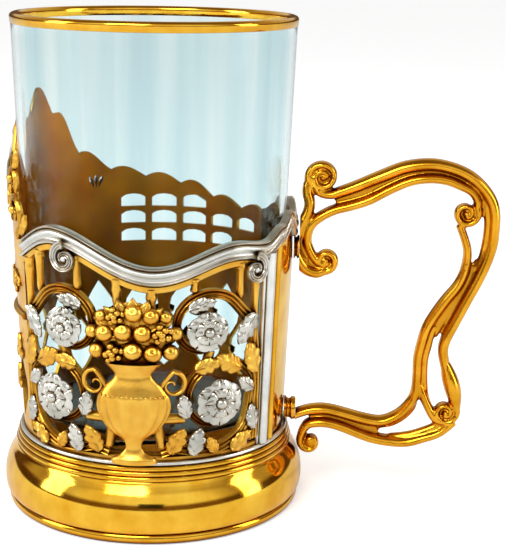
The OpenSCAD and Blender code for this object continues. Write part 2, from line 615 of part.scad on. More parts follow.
// Petals between the slots of the crest's fans, and leaves on the crossings of the lattice
module crest_ribs() {
    color("gold") {
        for (f = fan_shares) for (i = [0:f[3] - 1]) {
            g = fan_angle(f, i);
            long = crest_rise * f[1];
            leaf(f[0], long * cos(g) * 0.42, crest_base + long * sin(g) * 0.42, g, long * 0.62,
                 long * 0.1, wall_t + leaf_gap, relief_t);
        }
        for (row = [1:lattice_rows])
            for (column = [1:lattice_columns - 1]) {
                p = lattice_spot(row, column);
                leaf(p[0], 0, p[1] - lattice_z * 1.2, 90, lattice_z * 0.6, lattice_z * 0.3,
                     wall_t + leaf_gap, relief_t);
            }
        // Belt between the lattice and the panes
        belt_z = lattice_low + lattice_tall;
        a = angles(back_a + lattice_end_a, front_a - lattice_end_a, wall_step_a);
        loft([for (t = a) [for (s = [4:-1:0])
            on_wall(t, belt_z - rail_h / 2 * cos(45 * s), wall_t + skin + relief_t * sin(45 * s))]]);
    }
}

// Gilt scrolls that climb the side of the crest
module side_finial() {
    w = volute_w;
    d0 = wall_t + skin;
    up = wave_top(finial_a) + skin;
    color("gold") union() {
        stem(finial_a, concat([[w * 2.2, up + w * 1.1, w, relief_t],
                               [w * 5.5, up + w * 4.4, w, relief_t]],
             coil(w * 1.1, up + crest_rise * 0.2, crest_rise * 0.12, 0, 420, w, relief_t)), d0);
        stem(finial_a, coil(1, up + crest_rise * 0.43, crest_rise * 0.085, -60, 420, w, relief_t),
             d0);
    }
}

// Loose tea glass: thin conical wall, thick bottom with a rounded edge
glass_z = foot_h + seat_gap;
module glass_tumbler() {
    top = lip_z - gilt_t;
    inner_bottom = glass_z + glass_bottom;
    color("lightblue", 0.4) rotate_extrude() polygon(concat(
        [[0, glass_z]],
        arc_points(glass_r(glass_z) - glass_round, glass_z + glass_round, glass_round, glass_round,
                   -90, 0, 8),
        [[glass_r(top), top], [glass_r(top) - glass_wall, top]],
        arc_points(glass_r(inner_bottom) - glass_wall - glass_round, inner_bottom + glass_round,
                   glass_round, glass_round, 0, -90, 8),
        [[0, inner_bottom]]));
}

// Gilding over the lip
module rim_gilding() {
    top = lip_z - gilt_t;
    low = lip_z - gilt_h;
    function outside(z) = glass_r(z) + skin;
    function inside(z) = glass_r(z) - glass_wall - skin;
    color("gold") rotate_extrude() polygon([
        [outside(low), low], [outside(low) + gilt_t - skin, low + gilt_t], [glass_d / 2, top],
        [glass_r(top) - glass_wall / 4, lip_z], [glass_r(top) - glass_wall * 0.75, lip_z],
        [inside(top) - gilt_t, top], [inside(low) - gilt_t, low + gilt_t],
        [inside(low), low], [inside(top), top + skin], [outside(top), top + skin]]);
}

foot();
floor_plate();
lower_ring();
wall_front();
wall_back();
seam_strip();
column_front();
column_back();
border_front();
border_back();
border_handle();
border_volutes();
handle();
handle_pad_upper();
handle_pad_lower();
urn();
bouquet();
rosettes();
silver_leaves();
gilt_leaves();
crest_ribs();
side_finial();
glass_tumbler();
rim_gilding();
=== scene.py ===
# %% [markdown]
# # A tea glass holder, step by step
# The holder is cast and spun brass, plated with gold and in places with silver. A thin tea glass
# stands loose in it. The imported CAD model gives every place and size, so this lesson adds
# smooth, detailed pieces and finishes around it. Lengths are in millimetres until a piece is
# done, and angles are in degrees round the axis of the glass.

# %% Load the frame
import math

import bmesh
import bpy
from mathutils import Matrix, Vector


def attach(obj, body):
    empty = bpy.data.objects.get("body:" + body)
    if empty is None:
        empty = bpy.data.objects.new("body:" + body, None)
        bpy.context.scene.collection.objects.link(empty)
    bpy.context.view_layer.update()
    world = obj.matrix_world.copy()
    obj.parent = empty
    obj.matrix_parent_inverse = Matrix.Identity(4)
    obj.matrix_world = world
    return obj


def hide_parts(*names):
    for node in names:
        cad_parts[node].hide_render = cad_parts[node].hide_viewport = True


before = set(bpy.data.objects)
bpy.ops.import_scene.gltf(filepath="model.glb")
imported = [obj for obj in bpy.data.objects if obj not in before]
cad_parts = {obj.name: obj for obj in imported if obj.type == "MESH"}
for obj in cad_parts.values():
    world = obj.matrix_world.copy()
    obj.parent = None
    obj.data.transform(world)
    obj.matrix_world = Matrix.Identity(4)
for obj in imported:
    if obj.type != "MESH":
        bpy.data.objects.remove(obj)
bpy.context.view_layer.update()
MM = 0.001

# %% [markdown]
# ## The camera
# The photograph was taken from a little above the lip with a long lens, so the far and near
# edges of the lip are almost the same width. The camera stands 341 mm from the axis and looks
# 13.5 degrees down. Its frame is upright, so the lens is given for the longer, vertical side.

# %% Camera
CAMERA_SPOT = Vector((35.6, -339.0, 137.5)) * MM
YAW, PITCH, ROLL, LENS, SENSOR = -0.0337, 0.236, 0.018, 93.24, 36


def place_camera(spot, yaw, pitch, roll):
    forward = Vector((math.sin(yaw) * math.cos(pitch), math.cos(yaw) * math.cos(pitch), -math.sin(pitch)))
    level = Vector((math.cos(yaw), -math.sin(yaw), 0))
    upright = level.cross(forward)
    right = level * math.cos(roll) + upright * math.sin(roll)
    up = upright * math.cos(roll) - level * math.sin(roll)
    data = bpy.data.cameras.new("photo_camera")
    data.lens, data.sensor_width, data.sensor_height, data.sensor_fit = LENS, SENSOR, SENSOR, "VERTICAL"
    camera = bpy.data.objects.new("photo_camera", data)
    camera.matrix_world = Matrix.Translation(spot) @ Matrix((right, up, -forward)).transposed().to_4x4()
    bpy.context.scene.collection.objects.link(camera)
    return camera


bpy.context.scene.view_settings.view_transform = "Standard"
bpy.context.scene.camera = place_camera(CAMERA_SPOT, YAW, PITCH, ROLL)
print("camera at", bpy.context.scene.camera.location)

# %% [markdown]
# ## Colours and nodes
# Colours are written as the eye sees them, in sRGB hex, and Blender works in linear light, so
# one function turns them. Another sets a node's inputs to a value, a colour or another node's
# output, and one small function adds a node with its settings, links and colour stops.

# %% Colour and node helpers
def linear(hex_code):
    parts = [int(hex_code[i:i + 2], 16) / 255 for i in (1, 3, 5)]
    return [c / 12.92 if c <= 0.04045 else ((c + 0.055) / 1.055) ** 2.4 for c in parts] + [1]


def set_inputs(node, inputs):
    for socket, value in inputs.items():
        if isinstance(value, bpy.types.NodeSocket):
            node.id_data.links.new(value, node.inputs[socket])
        else:
            node.inputs[socket].default_value = linear(value) if isinstance(value, str) else value


def add_node(tree, kind, inputs, stops=(), **settings):
    node = tree.nodes.new(kind)
    for name, value in settings.items():
        setattr(node, name, value)
    set_inputs(node, inputs)
    if stops:
        elements = node.color_ramp.elements
        while len(elements) < len(stops):
            elements.new(0.5)
        for element, (place, hex_code) in zip(elements, stops):
            element.position, element.color = place, linear(hex_code)
    return node


def new_material(name, inputs):
    material = bpy.data.materials.new(name)
    material.use_nodes = True
    shader = material.node_tree.nodes["Principled BSDF"]
    set_inputs(shader, inputs)
    return material, material.node_tree, shader


# A Mix node has sockets of several kinds under the same names, so its colours go by number
MIX_A, MIX_B, MIX_OUT = 6, 7, 2
print("gold as linear light:", [round(c, 3) for c in linear("#E9A62C")])

# %% [markdown]
# ## Gold and silver plate
# Plating is a skin of metal over brass. Polished gold mirrors the studio in warm yellow, and in
# the grooves light bounces twice or more, so it turns deep orange. Cast relief is only tumbled,
# so it stays satin. Silver does the same in a cool white. That shade in the recesses is painted
# into the colour: it could be painted by hand, but ambient occlusion finds the recesses on every
# piece by itself. So one function mixes a painted recess shade, a painted deep shade and two
# tones of the metal, which a soft noise moves between, over a fine grain.

# %% Plated metals
CLOUD_MM = 6


def plated(name, bright, middle, deep, recess_shade, roughness, recess_mm, grain_mm, grain_depth_mm):
    material, tree, shader = new_material(name, {"Metallic": 1})
    place = add_node(tree, "ShaderNodeTexCoord", {}).outputs["Object"]
    cloud = add_node(tree, "ShaderNodeTexNoise", {"Vector": place, "Scale": 1 / (CLOUD_MM * MM), "Detail": 4})
    tone = add_node(tree, "ShaderNodeValToRGB", {"Fac": cloud.outputs["Fac"]}, [(0.35, middle), (0.65, bright)])
    # Painted shade: the less open a spot is, the more its colour turns to the deep and then the recess shade
    # colour
    recesses = add_node(tree, "ShaderNodeAmbientOcclusion", {"Distance": recess_mm * MM}, samples=8)
    unshaded_share = recesses.outputs["AO"]
    painted_groove_shade = add_node(tree, "ShaderNodeValToRGB", {"Fac": unshaded_share}, [(0.25, recess_shade), (0.7, deep)])
    shade_to_tone = add_node(tree, "ShaderNodeMapRange", {"Value": unshaded_share, "From Min": 0.55, "From Max": 0.92})
    colour = add_node(tree, "ShaderNodeMix", {"Factor": shade_to_tone.outputs["Result"], MIX_A: painted_groove_shade.outputs["Color"],
                                              MIX_B: tone.outputs["Color"]}, data_type="RGBA")
    grain = add_node(tree, "ShaderNodeTexNoise", {"Vector": place, "Scale": 1 / (grain_mm * MM), "Detail": 3,
                                                  "Roughness": 0.6}).outputs["Fac"]
    rough = add_node(tree, "ShaderNodeMapRange", {"Value": grain, "To Min": roughness * 0.75,
                                                  "To Max": roughness * 1.25})
    bump = add_node(tree, "ShaderNodeBump", {"Height": grain, "Strength": 0.6, "Distance": grain_depth_mm * MM})
    set_inputs(shader, {"Base Color": colour.outputs[MIX_OUT], "Roughness": rough.outputs["Result"],
                        "Normal": bump.outputs["Normal"]})
    return material


# Each metal: a bright and a middle tone, a deep and a recess colour of painted shade, roughness, and in mm the
# depth of the recesses, the grain and its depth.
# Real grain is finer than 0.1 mm and wouldn't show, so it is drawn at 0.4 mm or more.
# Gold plate on tumbled cast brass: soft highlights, fine grain, painted brown shade in the recesses
SATIN = ("#F7C654", "#E4A83C", "#8E540A", "#482402", 0.3, 2.2, 0.5, 0.03)
satin_gold = plated("satin_gold_plate", *SATIN)
# Polished gold plate on brass: a clear warm mirror with painted orange shade in the grooves
polished_gold = plated("polished_gold_plate", "#F7C644", "#E6AA2A", "#B87412", "#683204", 0.1, 2.0, 2.5, 0.008)
# The cast handle is polished by hand, so its mirror is softer, and its grooves get a painted deep orange shade
cast_gold = plated("hand_polished_gold_plate", "#F5B230", "#DC981E", "#A45C08", "#562603", 0.2, 3.0, 1.6, 0.012)
# Silver plate, polished by hand: cool white on the ridges, painted grey-brown shade in the grooves
polished_silver = plated("polished_silver_plate", "#F4F6F3", "#DADEDA", "#9C8456", "#48300E", 0.3, 1.6, 0.6,
                         0.015)
# Silver plate on small carving, which the wheel misses: duller tones, and a darker, browner painted shade in the
# creases
carved_silver = plated("carved_silver_plate", "#E6E5DC", "#B8B9B0", "#7A6342", "#34220A", 0.26, 1.7, 0.4, 0.02)
# Fired gold on glass: thin bright gold, as smooth as the glass under it
fired_gold = plated("fired_gold_on_glass", "#F2BE40", "#E4A62E", "#C87F1C", "#985609", 0.1, 1.0, 4.0, 0.004)
# Dull gold plate under the glass, where it is neither tumbled nor wiped
dull_gold = plated("dull_gold_plate", "#C88E30", "#AC7220", "#865414", "#4A2C0A", 0.45, 2.0, 0.8, 0.02)
METALS = (satin_gold, polished_gold, cast_gold, polished_silver, carved_silver, fired_gold, dull_gold)
print("metals:", [metal.name for metal in METALS])

# %% [markdown]
# The wall is cast in one thickness, satin outside, and inside it keeps the dull brown-gold
# skin that no wheel reaches. Two materials on two sets of faces would do, but the sides can be
# told apart by the surface's direction: inside, it points at the axis. So one material serves
# pieces of any shape, the kept CAD wall among them.

# %% Wall metal, satin outside and dull inside
STAIN_MM, INNER_ROUGHNESS = 9, 0.55


def two_sided_gold(name):
    material = plated(name, *SATIN)
    tree = material.node_tree
    shader = tree.nodes["Principled BSDF"]
    outer, outer_rough = (shader.inputs[socket].links[0].from_socket for socket in ("Base Color", "Roughness"))
    coords = add_node(tree, "ShaderNodeTexCoord", {}).outputs
    flat = add_node(tree, "ShaderNodeVectorMath", {0: coords["Object"], 1: (1, 1, 0)}, operation="MULTIPLY")
    facing = add_node(tree, "ShaderNodeVectorMath", {0: flat.outputs[0], 1: coords["Normal"]},
                      operation="DOT_PRODUCT")
    inside = add_node(tree, "ShaderNodeMath", {0: facing.outputs["Value"], 1: -0.02}, operation="LESS_THAN")
    stain = add_node(tree, "ShaderNodeTexNoise", {"Vector": coords["Object"], "Scale": 1 / (STAIN_MM * MM),
                                                  "Detail": 5})
    dull = add_node(tree, "ShaderNodeValToRGB", {"Fac": stain.outputs["Fac"]},
                    [(0.3, "#B45C0C"), (0.7, "#DA821A")])
    colour = add_node(tree, "ShaderNodeMix", {"Factor": inside.outputs[0], MIX_A: outer,
                                              MIX_B: dull.outputs["Color"]}, data_type="RGBA")
    rough = add_node(tree, "ShaderNodeMix", {"Factor": inside.outputs[0], "A": outer_rough,
                                             "B": INNER_ROUGHNESS})
    set_inputs(shader, {"Base Color": colour.outputs[MIX_OUT], "Roughness": rough.outputs[0]})
    return material


wall_gold = two_sided_gold("wall_gold_plate")
print("wall metal:", wall_gold.name)

# %% [markdown]
# ## Glass
# A tea glass is thin soda-lime glass, fire-polished, so it is almost perfectly smooth. It shows
# mostly by its edges, by faint upright streaks and by a cool tint. Real glass has an index of
# 1.5, which mirrors any studio as a grey veil over the wall behind. The photograph's studio
# hardly shows in the glass, so the index is 1.2 with a grey specular tint, and a noise that is
# drawn out upwards gives the streaks. Shadow rays mostly pass, as they do through thin glass.

# %% Clear glass
STREAK_MM, GLASS_WAVE_MM, GLASS_WAVE_DEPTH_MM = 7, 30, 0.05


def blown_glass(name):
    material, tree, shader = new_material(name, {"Transmission Weight": 1, "IOR": 1.2,
                                                 "Specular Tint": "#7C868C"})
    place = add_node(tree, "ShaderNodeTexCoord", {}).outputs["Object"]
    drawn = add_node(tree, "ShaderNodeMapping", {"Vector": place, "Scale": (1, 1, 0.02)})
    streaks = add_node(tree, "ShaderNodeTexNoise", {"Vector": drawn.outputs["Vector"],
                                                    "Scale": 1 / (STREAK_MM * MM), "Detail": 3})
    tint = add_node(tree, "ShaderNodeValToRGB", {"Fac": streaks.outputs["Fac"]},
                    [(0.34, "#D7E8EB"), (0.5, "#E3F0F1"), (0.64, "#EFF6F5")])
    waves = add_node(tree, "ShaderNodeTexNoise", {"Vector": place, "Scale": 1 / (GLASS_WAVE_MM * MM)})
    wave = waves.outputs["Fac"]
    rough = add_node(tree, "ShaderNodeMapRange", {"Value": wave, "To Min": 0.0, "To Max": 0.03})
    bump = add_node(tree, "ShaderNodeBump", {"Height": wave, "Strength": 0.3,
                                             "Distance": GLASS_WAVE_DEPTH_MM * MM})
    rays = add_node(tree, "ShaderNodeLightPath", {})
    shade = add_node(tree, "ShaderNodeMapRange", {"Value": rays.outputs["Is Shadow Ray"], "To Min": 1.0,
                                                  "To Max": 0.08})
    set_inputs(shader, {"Base Color": tint.outputs["Color"], "Roughness": rough.outputs["Result"],
                        "Normal": bump.outputs["Normal"], "Alpha": shade.outputs["Result"]})
    return material


clear_glass = blown_glass("clear_soda_lime_glass")
print("glass:", clear_glass.name)

# %% [markdown]
# ## The cone that everything follows
# The wall follows the glass, so its radius grows slowly with height. Flat designs are drawn as
# seen from the front, x along the wall and z up, and then wrapped round this cone, because a
# scroll is much easier to draw flat. The wall's top is a wave, kept as heights at some angles,
# and a half cosine eases from each to the next.

# %% Cone and wave of the wall
LIP_Z, GLASS_D, GILT_T, TAPER, WALL_GAP, WALL_T = 118.7, 68.0, 0.27, 0.036, 1.0, 1.1
WAVE_Z, WAVE_RISE, BORDER_H, BORDER_T, FOOT_H, RING_H = 65.0, 7.9, 4.3, 2.2, 18.0, 1.1
# Angles where the wall's parts begin and end, and the urn's middle
BACK_A, FRONT_A, COLUMN_A, STRIP_A, STRIP_END_A, COLUMN_END_A, URN_A = -324, -148, -36, -28, 28, 36, -92
# The wave as (angle, share of its rise)
WAVE = [(-324, 0.5), (-290, 0.7), (-255, 0.08), (-220, 0.7), (-185, 0.1), (-156, 0.2), (-126, 1),
        (-84, 0), (-51, 0.62), (-36, 0.5), (-24, 0.82), (-16, 1.16), (-6, 0.75), (6, 0.75), (16, 1.16),
        (24, 0.82), (36, 0.5)]
# The gap that the CAD model leaves between soldered pieces, and the least that a design stands out
FIT, LEAST_OUT = 0.03, 0.05


def glass_r(z):
    return GLASS_D / 2 - GILT_T - TAPER * (LIP_Z - z)


def wall_r(z):
    return glass_r(z) + WALL_GAP


def to_angle(along):
    return math.degrees(along / wall_r(WAVE_Z))


def to_along(angle):
    return math.radians(angle) * wall_r(WAVE_Z)


def eased(table, angle):
    for (a0, v0), (a1, v1) in zip(table, table[1:]):
        if angle <= a1 + 1e-6:
            share = min(1, max(0, (angle - a0) / (a1 - a0)))
            return v0 + (v1 - v0) * (1 - math.cos(math.pi * share)) / 2
    return table[-1][1]


def wave_top(angle):
    return WAVE_Z + WAVE_RISE * eased(WAVE, angle)


def wrap(bm, centre_a):
    for v in bm.verts:
        angle = math.radians(centre_a + to_angle(v.co.x))
        r = wall_r(v.co.z) + max(-v.co.y, LEAST_OUT)
        v.co = Vector((r * math.cos(angle), r * math.sin(angle), v.co.z))


print("wall radius at the wave:", round(wall_r(WAVE_Z), 2), "mm")

# %% [markdown]
# ## From parts to a finished piece
# Many parts of a casting are alike, so they are made one by one, wrapped round the wall and
# joined in one bmesh. A finished piece is one mesh in metres with its object at the origin, it
# shades smoothly apart from sharp edges, rides on its body, and hides the CAD nodes it stands
# for. Balls serve as bosses, beads, berries and fruit.

# %% Join parts and finish a piece
def join_into(bm, part):
    mesh = bpy.data.meshes.new("joined")
    part.to_mesh(mesh)
    part.free()
    bm.from_mesh(mesh)
    bpy.data.meshes.remove(mesh)


def wrap_into(bm, part, centre_a):
    wrap(part, centre_a)
    join_into(bm, part)


def add_ball(bm, spot, radius, around, rings, flat=1.0):
    seat = Matrix.Translation(spot) @ Matrix.Diagonal((1, flat, 1, 1))
    made = bmesh.ops.create_uvsphere(bm, u_segments=around, v_segments=rings, radius=radius, matrix=seat)
    return made["verts"]


def finish_piece(name, bm, material, nodes, body="holder", sharp=40):
    bmesh.ops.recalc_face_normals(bm, faces=bm.faces[:])
    bmesh.ops.scale(bm, vec=(MM, MM, MM), verts=bm.verts[:])
    mesh = bpy.data.meshes.new(name)
    bm.to_mesh(mesh)
    bm.free()
    mesh.shade_smooth()
    mesh.set_sharp_from_angle(angle=math.radians(sharp))
    mesh.materials.append(material)
    piece = bpy.data.objects.new(name, mesh)
    bpy.context.scene.collection.objects.link(piece)
    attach(piece, body)
    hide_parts(*nodes)
    print(name, len(mesh.polygons), "faces")


# %% [markdown]
# ## Curves and sweeps
# Scrolls are drawn by a few points, and a Catmull-Rom curve runs smoothly through them. A
# sweep then extrudes a section along that curve, step by step, and scales it on the way. A
# curve object with a bevel could do this too, but its section can't grow taller and narrower
# apart, and a bmesh extrude closes both ends. A path is a list of (x, z, half width, height).

# %% Smooth curve, spiral and sweep
SPIRAL_STEP = 12


def smooth(points, steps):
    n = len(points) - 1
    out = []
    for i in range(n):
        a, b, c, d = (points[max(i - 1, 0)], points[i], points[i + 1], points[min(i + 2, n)])
        for s in range(steps):
            t = s / steps
            out.append(tuple((2 * q + (r - p) * t + (2 * p - 5 * q + 4 * r - w) * t * t
                              + (3 * q - p - 3 * r + w) * t ** 3) / 2 for p, q, r, w in zip(a, b, c, d)))
    return out + [tuple(points[-1])]


def spiral(x, z, radius, start, sweep_deg, width, height, end_share=0.12):
    n = math.ceil(abs(sweep_deg) / SPIRAL_STEP)
    out = []
    for i in range(n + 1):
        s = i / n
        q = radius * (1 - s * (1 - end_share))
        angle = math.radians(start + sweep_deg * s)
        out.append((x + q * math.cos(angle), z + q * math.sin(angle), width * (1 - s / 2), height))
    return out


def sweep(path, section, depth=0.0, upright=False):
    bm = bmesh.new()
    face = None
    for i, (x, z, w, h) in enumerate(path):
        before, after = path[max(i - 1, 0)], path[min(i + 1, len(path) - 1)]
        along = Vector((after[0] - before[0], 0, after[1] - before[1])).normalized()
        across = Vector((0, 0, -1)) if upright else Vector((along.z, 0, -along.x))
        spots = [Vector((x, -depth, z)) + across * (a * w) + Vector((0, -b * h, 0)) for a, b in section]
        if face is None:
            face = bm.faces.new([bm.verts.new(spot) for spot in spots])
            continue
        made = bmesh.ops.extrude_face_region(bm, geom=[face])["geom"]
        face = next(g for g in made if isinstance(g, bmesh.types.BMFace))
        for v, spot in zip(face.verts, spots):
            v.co = spot
    return bm


# Sections as (across, out) for a half width and a height of one
FLUTED = [(-1, 0), (-1, 0.45), (-0.93, 0.7), (-0.8, 0.82), (-0.64, 0.76), (-0.5, 0.55), (-0.34, 0.5),
          (-0.16, 0.68), (0, 0.76), (0.16, 0.68), (0.34, 0.5), (0.5, 0.55), (0.64, 0.76), (0.8, 0.82),
          (0.93, 0.7), (1, 0.45), (1, 0)]
DOMED = [(-math.cos(math.pi * i / 10), math.sin(math.pi * i / 10)) for i in range(11)]
ROUND = [(math.cos(math.tau * i / 16), math.sin(math.tau * i / 16)) for i in range(16)]
print("sections:", len(FLUTED), len(DOMED), len(ROUND), "points")

# %% [markdown]
# ## The foot
# The foot is spun from sheet over a former: three small mouldings step out under the wall, then
# a smooth shoulder rolls into a full round body, over a small bead on the table. It is hollow
# underneath. A lathe of stacked cylinders would show its steps in such a mirror, so one closed
# outline is spun, as it is really made, and 192 steps keep its reflections smooth.

# %% Spin an outline
def arc(r, z, rr, rz, start, end, n):
    return [(r + rr * math.cos(math.radians(start + (end - start) * i / n)),
             z + rz * math.sin(math.radians(start + (end - start) * i / n))) for i in range(n + 1)]


def spin_outline(outline, steps, closed=True):
    bm = bmesh.new()
    verts = [bm.verts.new((r, 0, z)) for r, z in outline]
    pairs = zip(verts, verts[1:] + verts[:1]) if closed else zip(verts, verts[1:])
    edges = [bm.edges.new(pair) for pair in pairs]
    bmesh.ops.spin(bm, geom=verts + edges, cent=(0, 0, 0), axis=(0, 0, 1), angle=math.tau,
                   steps=steps, use_merge=True)
    if closed:
        bmesh.ops.remove_doubles(bm, verts=bm.verts[:], dist=0.002)
    return bm


# %% Spun foot
FOOT_STEPS, FLOOR_T, HOLLOW_R, MOULDING_W = 192, 1.2, 33.3, 0.67
WALL_OUT = wall_r(FOOT_H) + WALL_T
FOOT_R, FLANGE_R = WALL_OUT + 4.9, WALL_OUT + RING_H * 0.9
NECK_R, NECK_Z = FLANGE_R + 3 * MOULDING_W, FOOT_H - 2.7
BODY_Z, BODY_HALF, BEAD_HALF, BEAD_T = FOOT_H / 3, FOOT_H * 0.195, FOOT_H * 0.067, FOOT_H * 0.055
BODY_R = NECK_R + (FOOT_R - NECK_R) / 2
FLOOR_R = wall_r(FOOT_H) - WALL_GAP / 2
MOULDINGS, MOULDING_H, MOULDING_STEP = 3, 1.15, 0.32
# From the mouldings over the shoulder to the body, as (share of the way out, z)
SHOULDER = [(0, 14.4), (0.1, 13.8), (0.27, 13.0), (0.49, 12.0), (0.69, 10.8), (0.845, 9.5), (0.945, 8.1),
            (0.99, 6.7), (0.99, 5.6), (0.955, 4.4), (0.87, 3.4), (0.7, 2.7), (0.5, 2.5)]
foot_line = [(FLOOR_R, FOOT_H), (FLANGE_R, FOOT_H)]
for step in range(MOULDINGS):
    foot_line += arc(FLANGE_R + step * MOULDING_STEP, FOOT_H - (step + 0.5) * MOULDING_H,
                     MOULDING_STEP * 1.3, MOULDING_H / 2, 80, -70, 10)
shoulder_r = FLANGE_R + MOULDINGS * MOULDING_STEP
foot_line += smooth([(shoulder_r + (FOOT_R - shoulder_r) * out, z) for out, z in SHOULDER], 5)
foot_line += arc(BODY_R - BEAD_T, BEAD_HALF, BEAD_T, BEAD_HALF, 90, -90, 16)
foot_line += [(HOLLOW_R + 0.3, 0), (HOLLOW_R, 0.4), (HOLLOW_R, BODY_Z + BODY_HALF), (FLOOR_R - 1, NECK_Z),
              (FLOOR_R - 1, FOOT_H - FLOOR_T), (FLOOR_R, FOOT_H - FLOOR_T)]
finish_piece("spun_foot", spin_outline(foot_line, FOOT_STEPS), polished_gold, ["foot"])

# %% [markdown]
# The bead around the bottom of the wall is a half-round silvered wire, and shows as one bright
# line between the relief and the foot. A torus would sink into the wall, so its outline is a
# half circle with a flat back, spun like the foot.

# %% Silver bead under the wall
ring_in = wall_r(FOOT_H + RING_H) + WALL_T + FIT
bead_arc = arc(FLANGE_R - RING_H / 2, FOOT_H + RING_H / 2, RING_H / 2, RING_H / 2, -90, 90, 10)
ring_line = [(ring_in, FOOT_H)] + bead_arc + [(ring_in, FOOT_H + RING_H)]
finish_piece("silver_bead", spin_outline(ring_line, FOOT_STEPS), polished_silver, ["lower_ring"])

# %% [markdown]
# ## The tea glass and its gold rim
# The glass is blown and its lip is rounded in a flame. For light to bend at both faces, it has
# to be one closed outline, spun: outer wall, rounded lip, inner wall and a thick bottom with a
# rounded corner. The gold is fired over the lip as a very thin skin, a little wider outside
# than inside, so it is a spun skin of its own and no stripe in the material.

# %% Glass and gold rim
GLASS_STEPS, GLASS_WALL, GLASS_BOTTOM, GLASS_ROUND, GILT_H = 160, 1.5, 5.0, 3.0, 2.4
POLE_R, GLASS_SHARP = 0.02, 60
glass_z, glass_top = FOOT_H + 0.1, LIP_Z - GILT_T
inner_bottom, lip_r = glass_z + GLASS_BOTTOM, GLASS_WALL / 2


def along_cone(z0, z1, inset):
    heights = [z0 + (z1 - z0) * i / 24 for i in range(1, 24)]
    return [(glass_r(z) - inset, z) for z in heights]


glass_line = [(POLE_R, glass_z)]
glass_line += arc(glass_r(glass_z) - GLASS_ROUND, glass_z + GLASS_ROUND, GLASS_ROUND, GLASS_ROUND, -90, 0, 12)
glass_line += along_cone(glass_z + GLASS_ROUND, glass_top - 0.6, 0)
glass_line += arc(glass_r(glass_top) - lip_r, glass_top - lip_r, lip_r, lip_r, 0, 180, 12)
glass_line += along_cone(glass_top - 1, inner_bottom + GLASS_ROUND, GLASS_WALL)
glass_line += arc(glass_r(inner_bottom) - GLASS_WALL - GLASS_ROUND, inner_bottom + GLASS_ROUND,
                  GLASS_ROUND, GLASS_ROUND, 0, -90, 12)
glass_line += [(POLE_R, inner_bottom)]
finish_piece("tea_glass_body", spin_outline(glass_line, GLASS_STEPS), clear_glass,
             ["glass_tumbler"], "tea_glass", GLASS_SHARP)

rim_low = LIP_Z - GILT_H
rim_line = [(glass_r(rim_low) + 0.02, rim_low), (glass_r(rim_low) + 0.16, rim_low + 0.12),
            (glass_r(glass_top - 1) + 0.24, glass_top - 1)]
rim_line += arc(glass_r(glass_top) - lip_r, glass_top - lip_r, lip_r + GILT_T, lip_r + GILT_T, 0, 180, 16)
rim_line += [(glass_r(rim_low) - GLASS_WALL - 0.16, rim_low + 0.12),
             (glass_r(rim_low) - GLASS_WALL - 0.02, rim_low)]
rim_line += arc(glass_r(glass_top) - lip_r, glass_top - lip_r, lip_r + 0.02, lip_r + 0.02, 180, 0, 12)
finish_piece("gold_rim", spin_outline(rim_line, GLASS_STEPS), fired_gold, ["rim_gilding"],
             "tea_glass", GLASS_SHARP)

# %% [markdown]
# ## The handle
# The handle is cast in one piece: strands with round ridges run side by side, part and meet
# again, and end in small volutes. It could be carved from one block with booleans, but each
# strand has its own flow, so each is swept along its own curve, given as shares of the handle's
# reach and rise. Every volute is a spiral sweep round a boss.

# %% Strands of the handle
HANDLE_REACH, STRAND_W, STRAND_D = 50.0, 1.3, 2.3
HANDLE_X = NECK_R - 2 * MOULDING_W
HANDLE_Z = BODY_Z + BEAD_HALF * 3.4
HANDLE_RISE = WAVE_Z + 20.1 - HANDLE_Z
PAD_X = wall_r(WAVE_Z + WAVE_RISE) + BORDER_T + 0.09
# Size at the start, in the middle and at the end, and the points
STRANDS = {
    "mount": (1.1, 1.05, 0.9, [
        (0.015, 0.74), (0.035, 0.78), (0.065, 0.82), (0.075, 0.855), (0.062, 0.89), (0.063, 0.92)]),
    "outer": (0.8, 1.12, 0.8, [
        (0.085, 0.945), (0.095, 0.915), (0.125, 0.89), (0.175, 0.885), (0.22, 0.895), (0.28, 0.91),
        (0.35, 0.93), (0.435, 0.955), (0.53, 0.98), (0.645, 0.99), (0.745, 0.98), (0.835, 0.955),
        (0.905, 0.915), (0.95, 0.87), (0.965, 0.825), (0.965, 0.775), (0.96, 0.73), (0.935, 0.67),
        (0.895, 0.605), (0.855, 0.55), (0.82, 0.5), (0.785, 0.45), (0.76, 0.41), (0.75, 0.375),
        (0.76, 0.335), (0.78, 0.29), (0.81, 0.235), (0.829, 0.2), (0.83, 0.175)]),
    "inner": (0.7, 1.0, 0.75, [
        (0.14, 0.655), (0.115, 0.665), (0.085, 0.695), (0.065, 0.735), (0.08, 0.78), (0.125, 0.81),
        (0.195, 0.835), (0.275, 0.85), (0.36, 0.87), (0.455, 0.905), (0.555, 0.935), (0.65, 0.945),
        (0.73, 0.94), (0.79, 0.925), (0.85, 0.905), (0.88, 0.875), (0.879, 0.848)]),
    "hook": (0.9, 1.15, 0.9, [
        (0.005, 0.725), (0.02, 0.68), (0.06, 0.64), (0.115, 0.627), (0.156, 0.635)]),
    "grip": (0.75, 1.0, 1.0, [
        (0.8, 0.795), (0.825, 0.755), (0.845, 0.705), (0.835, 0.645), (0.805, 0.595), (0.755, 0.55),
        (0.705, 0.5), (0.665, 0.45), (0.645, 0.4), (0.63, 0.345), (0.63, 0.29), (0.625, 0.23),
        (0.6, 0.19), (0.545, 0.15), (0.465, 0.125), (0.38, 0.13), (0.29, 0.145), (0.195, 0.16),
        (0.125, 0.16), (0.065, 0.15), (0.015, 0.135), (-0.015, 0.12)]),
    "spur": (0.7, 0.9, 0.6, [(0.635, 0.265), (0.655, 0.23), (0.685, 0.185), (0.725, 0.14), (0.78, 0.125)]),
    "base": (0.9, 1.1, 0.75, [
        (0.82, 0.13), (0.75, 0.09), (0.67, 0.07), (0.59, 0.055), (0.51, 0.055), (0.415, 0.065),
        (0.33, 0.085), (0.25, 0.105), (0.18, 0.115), (0.105, 0.11), (0.075, 0.09), (0.06, 0.065)]),
}
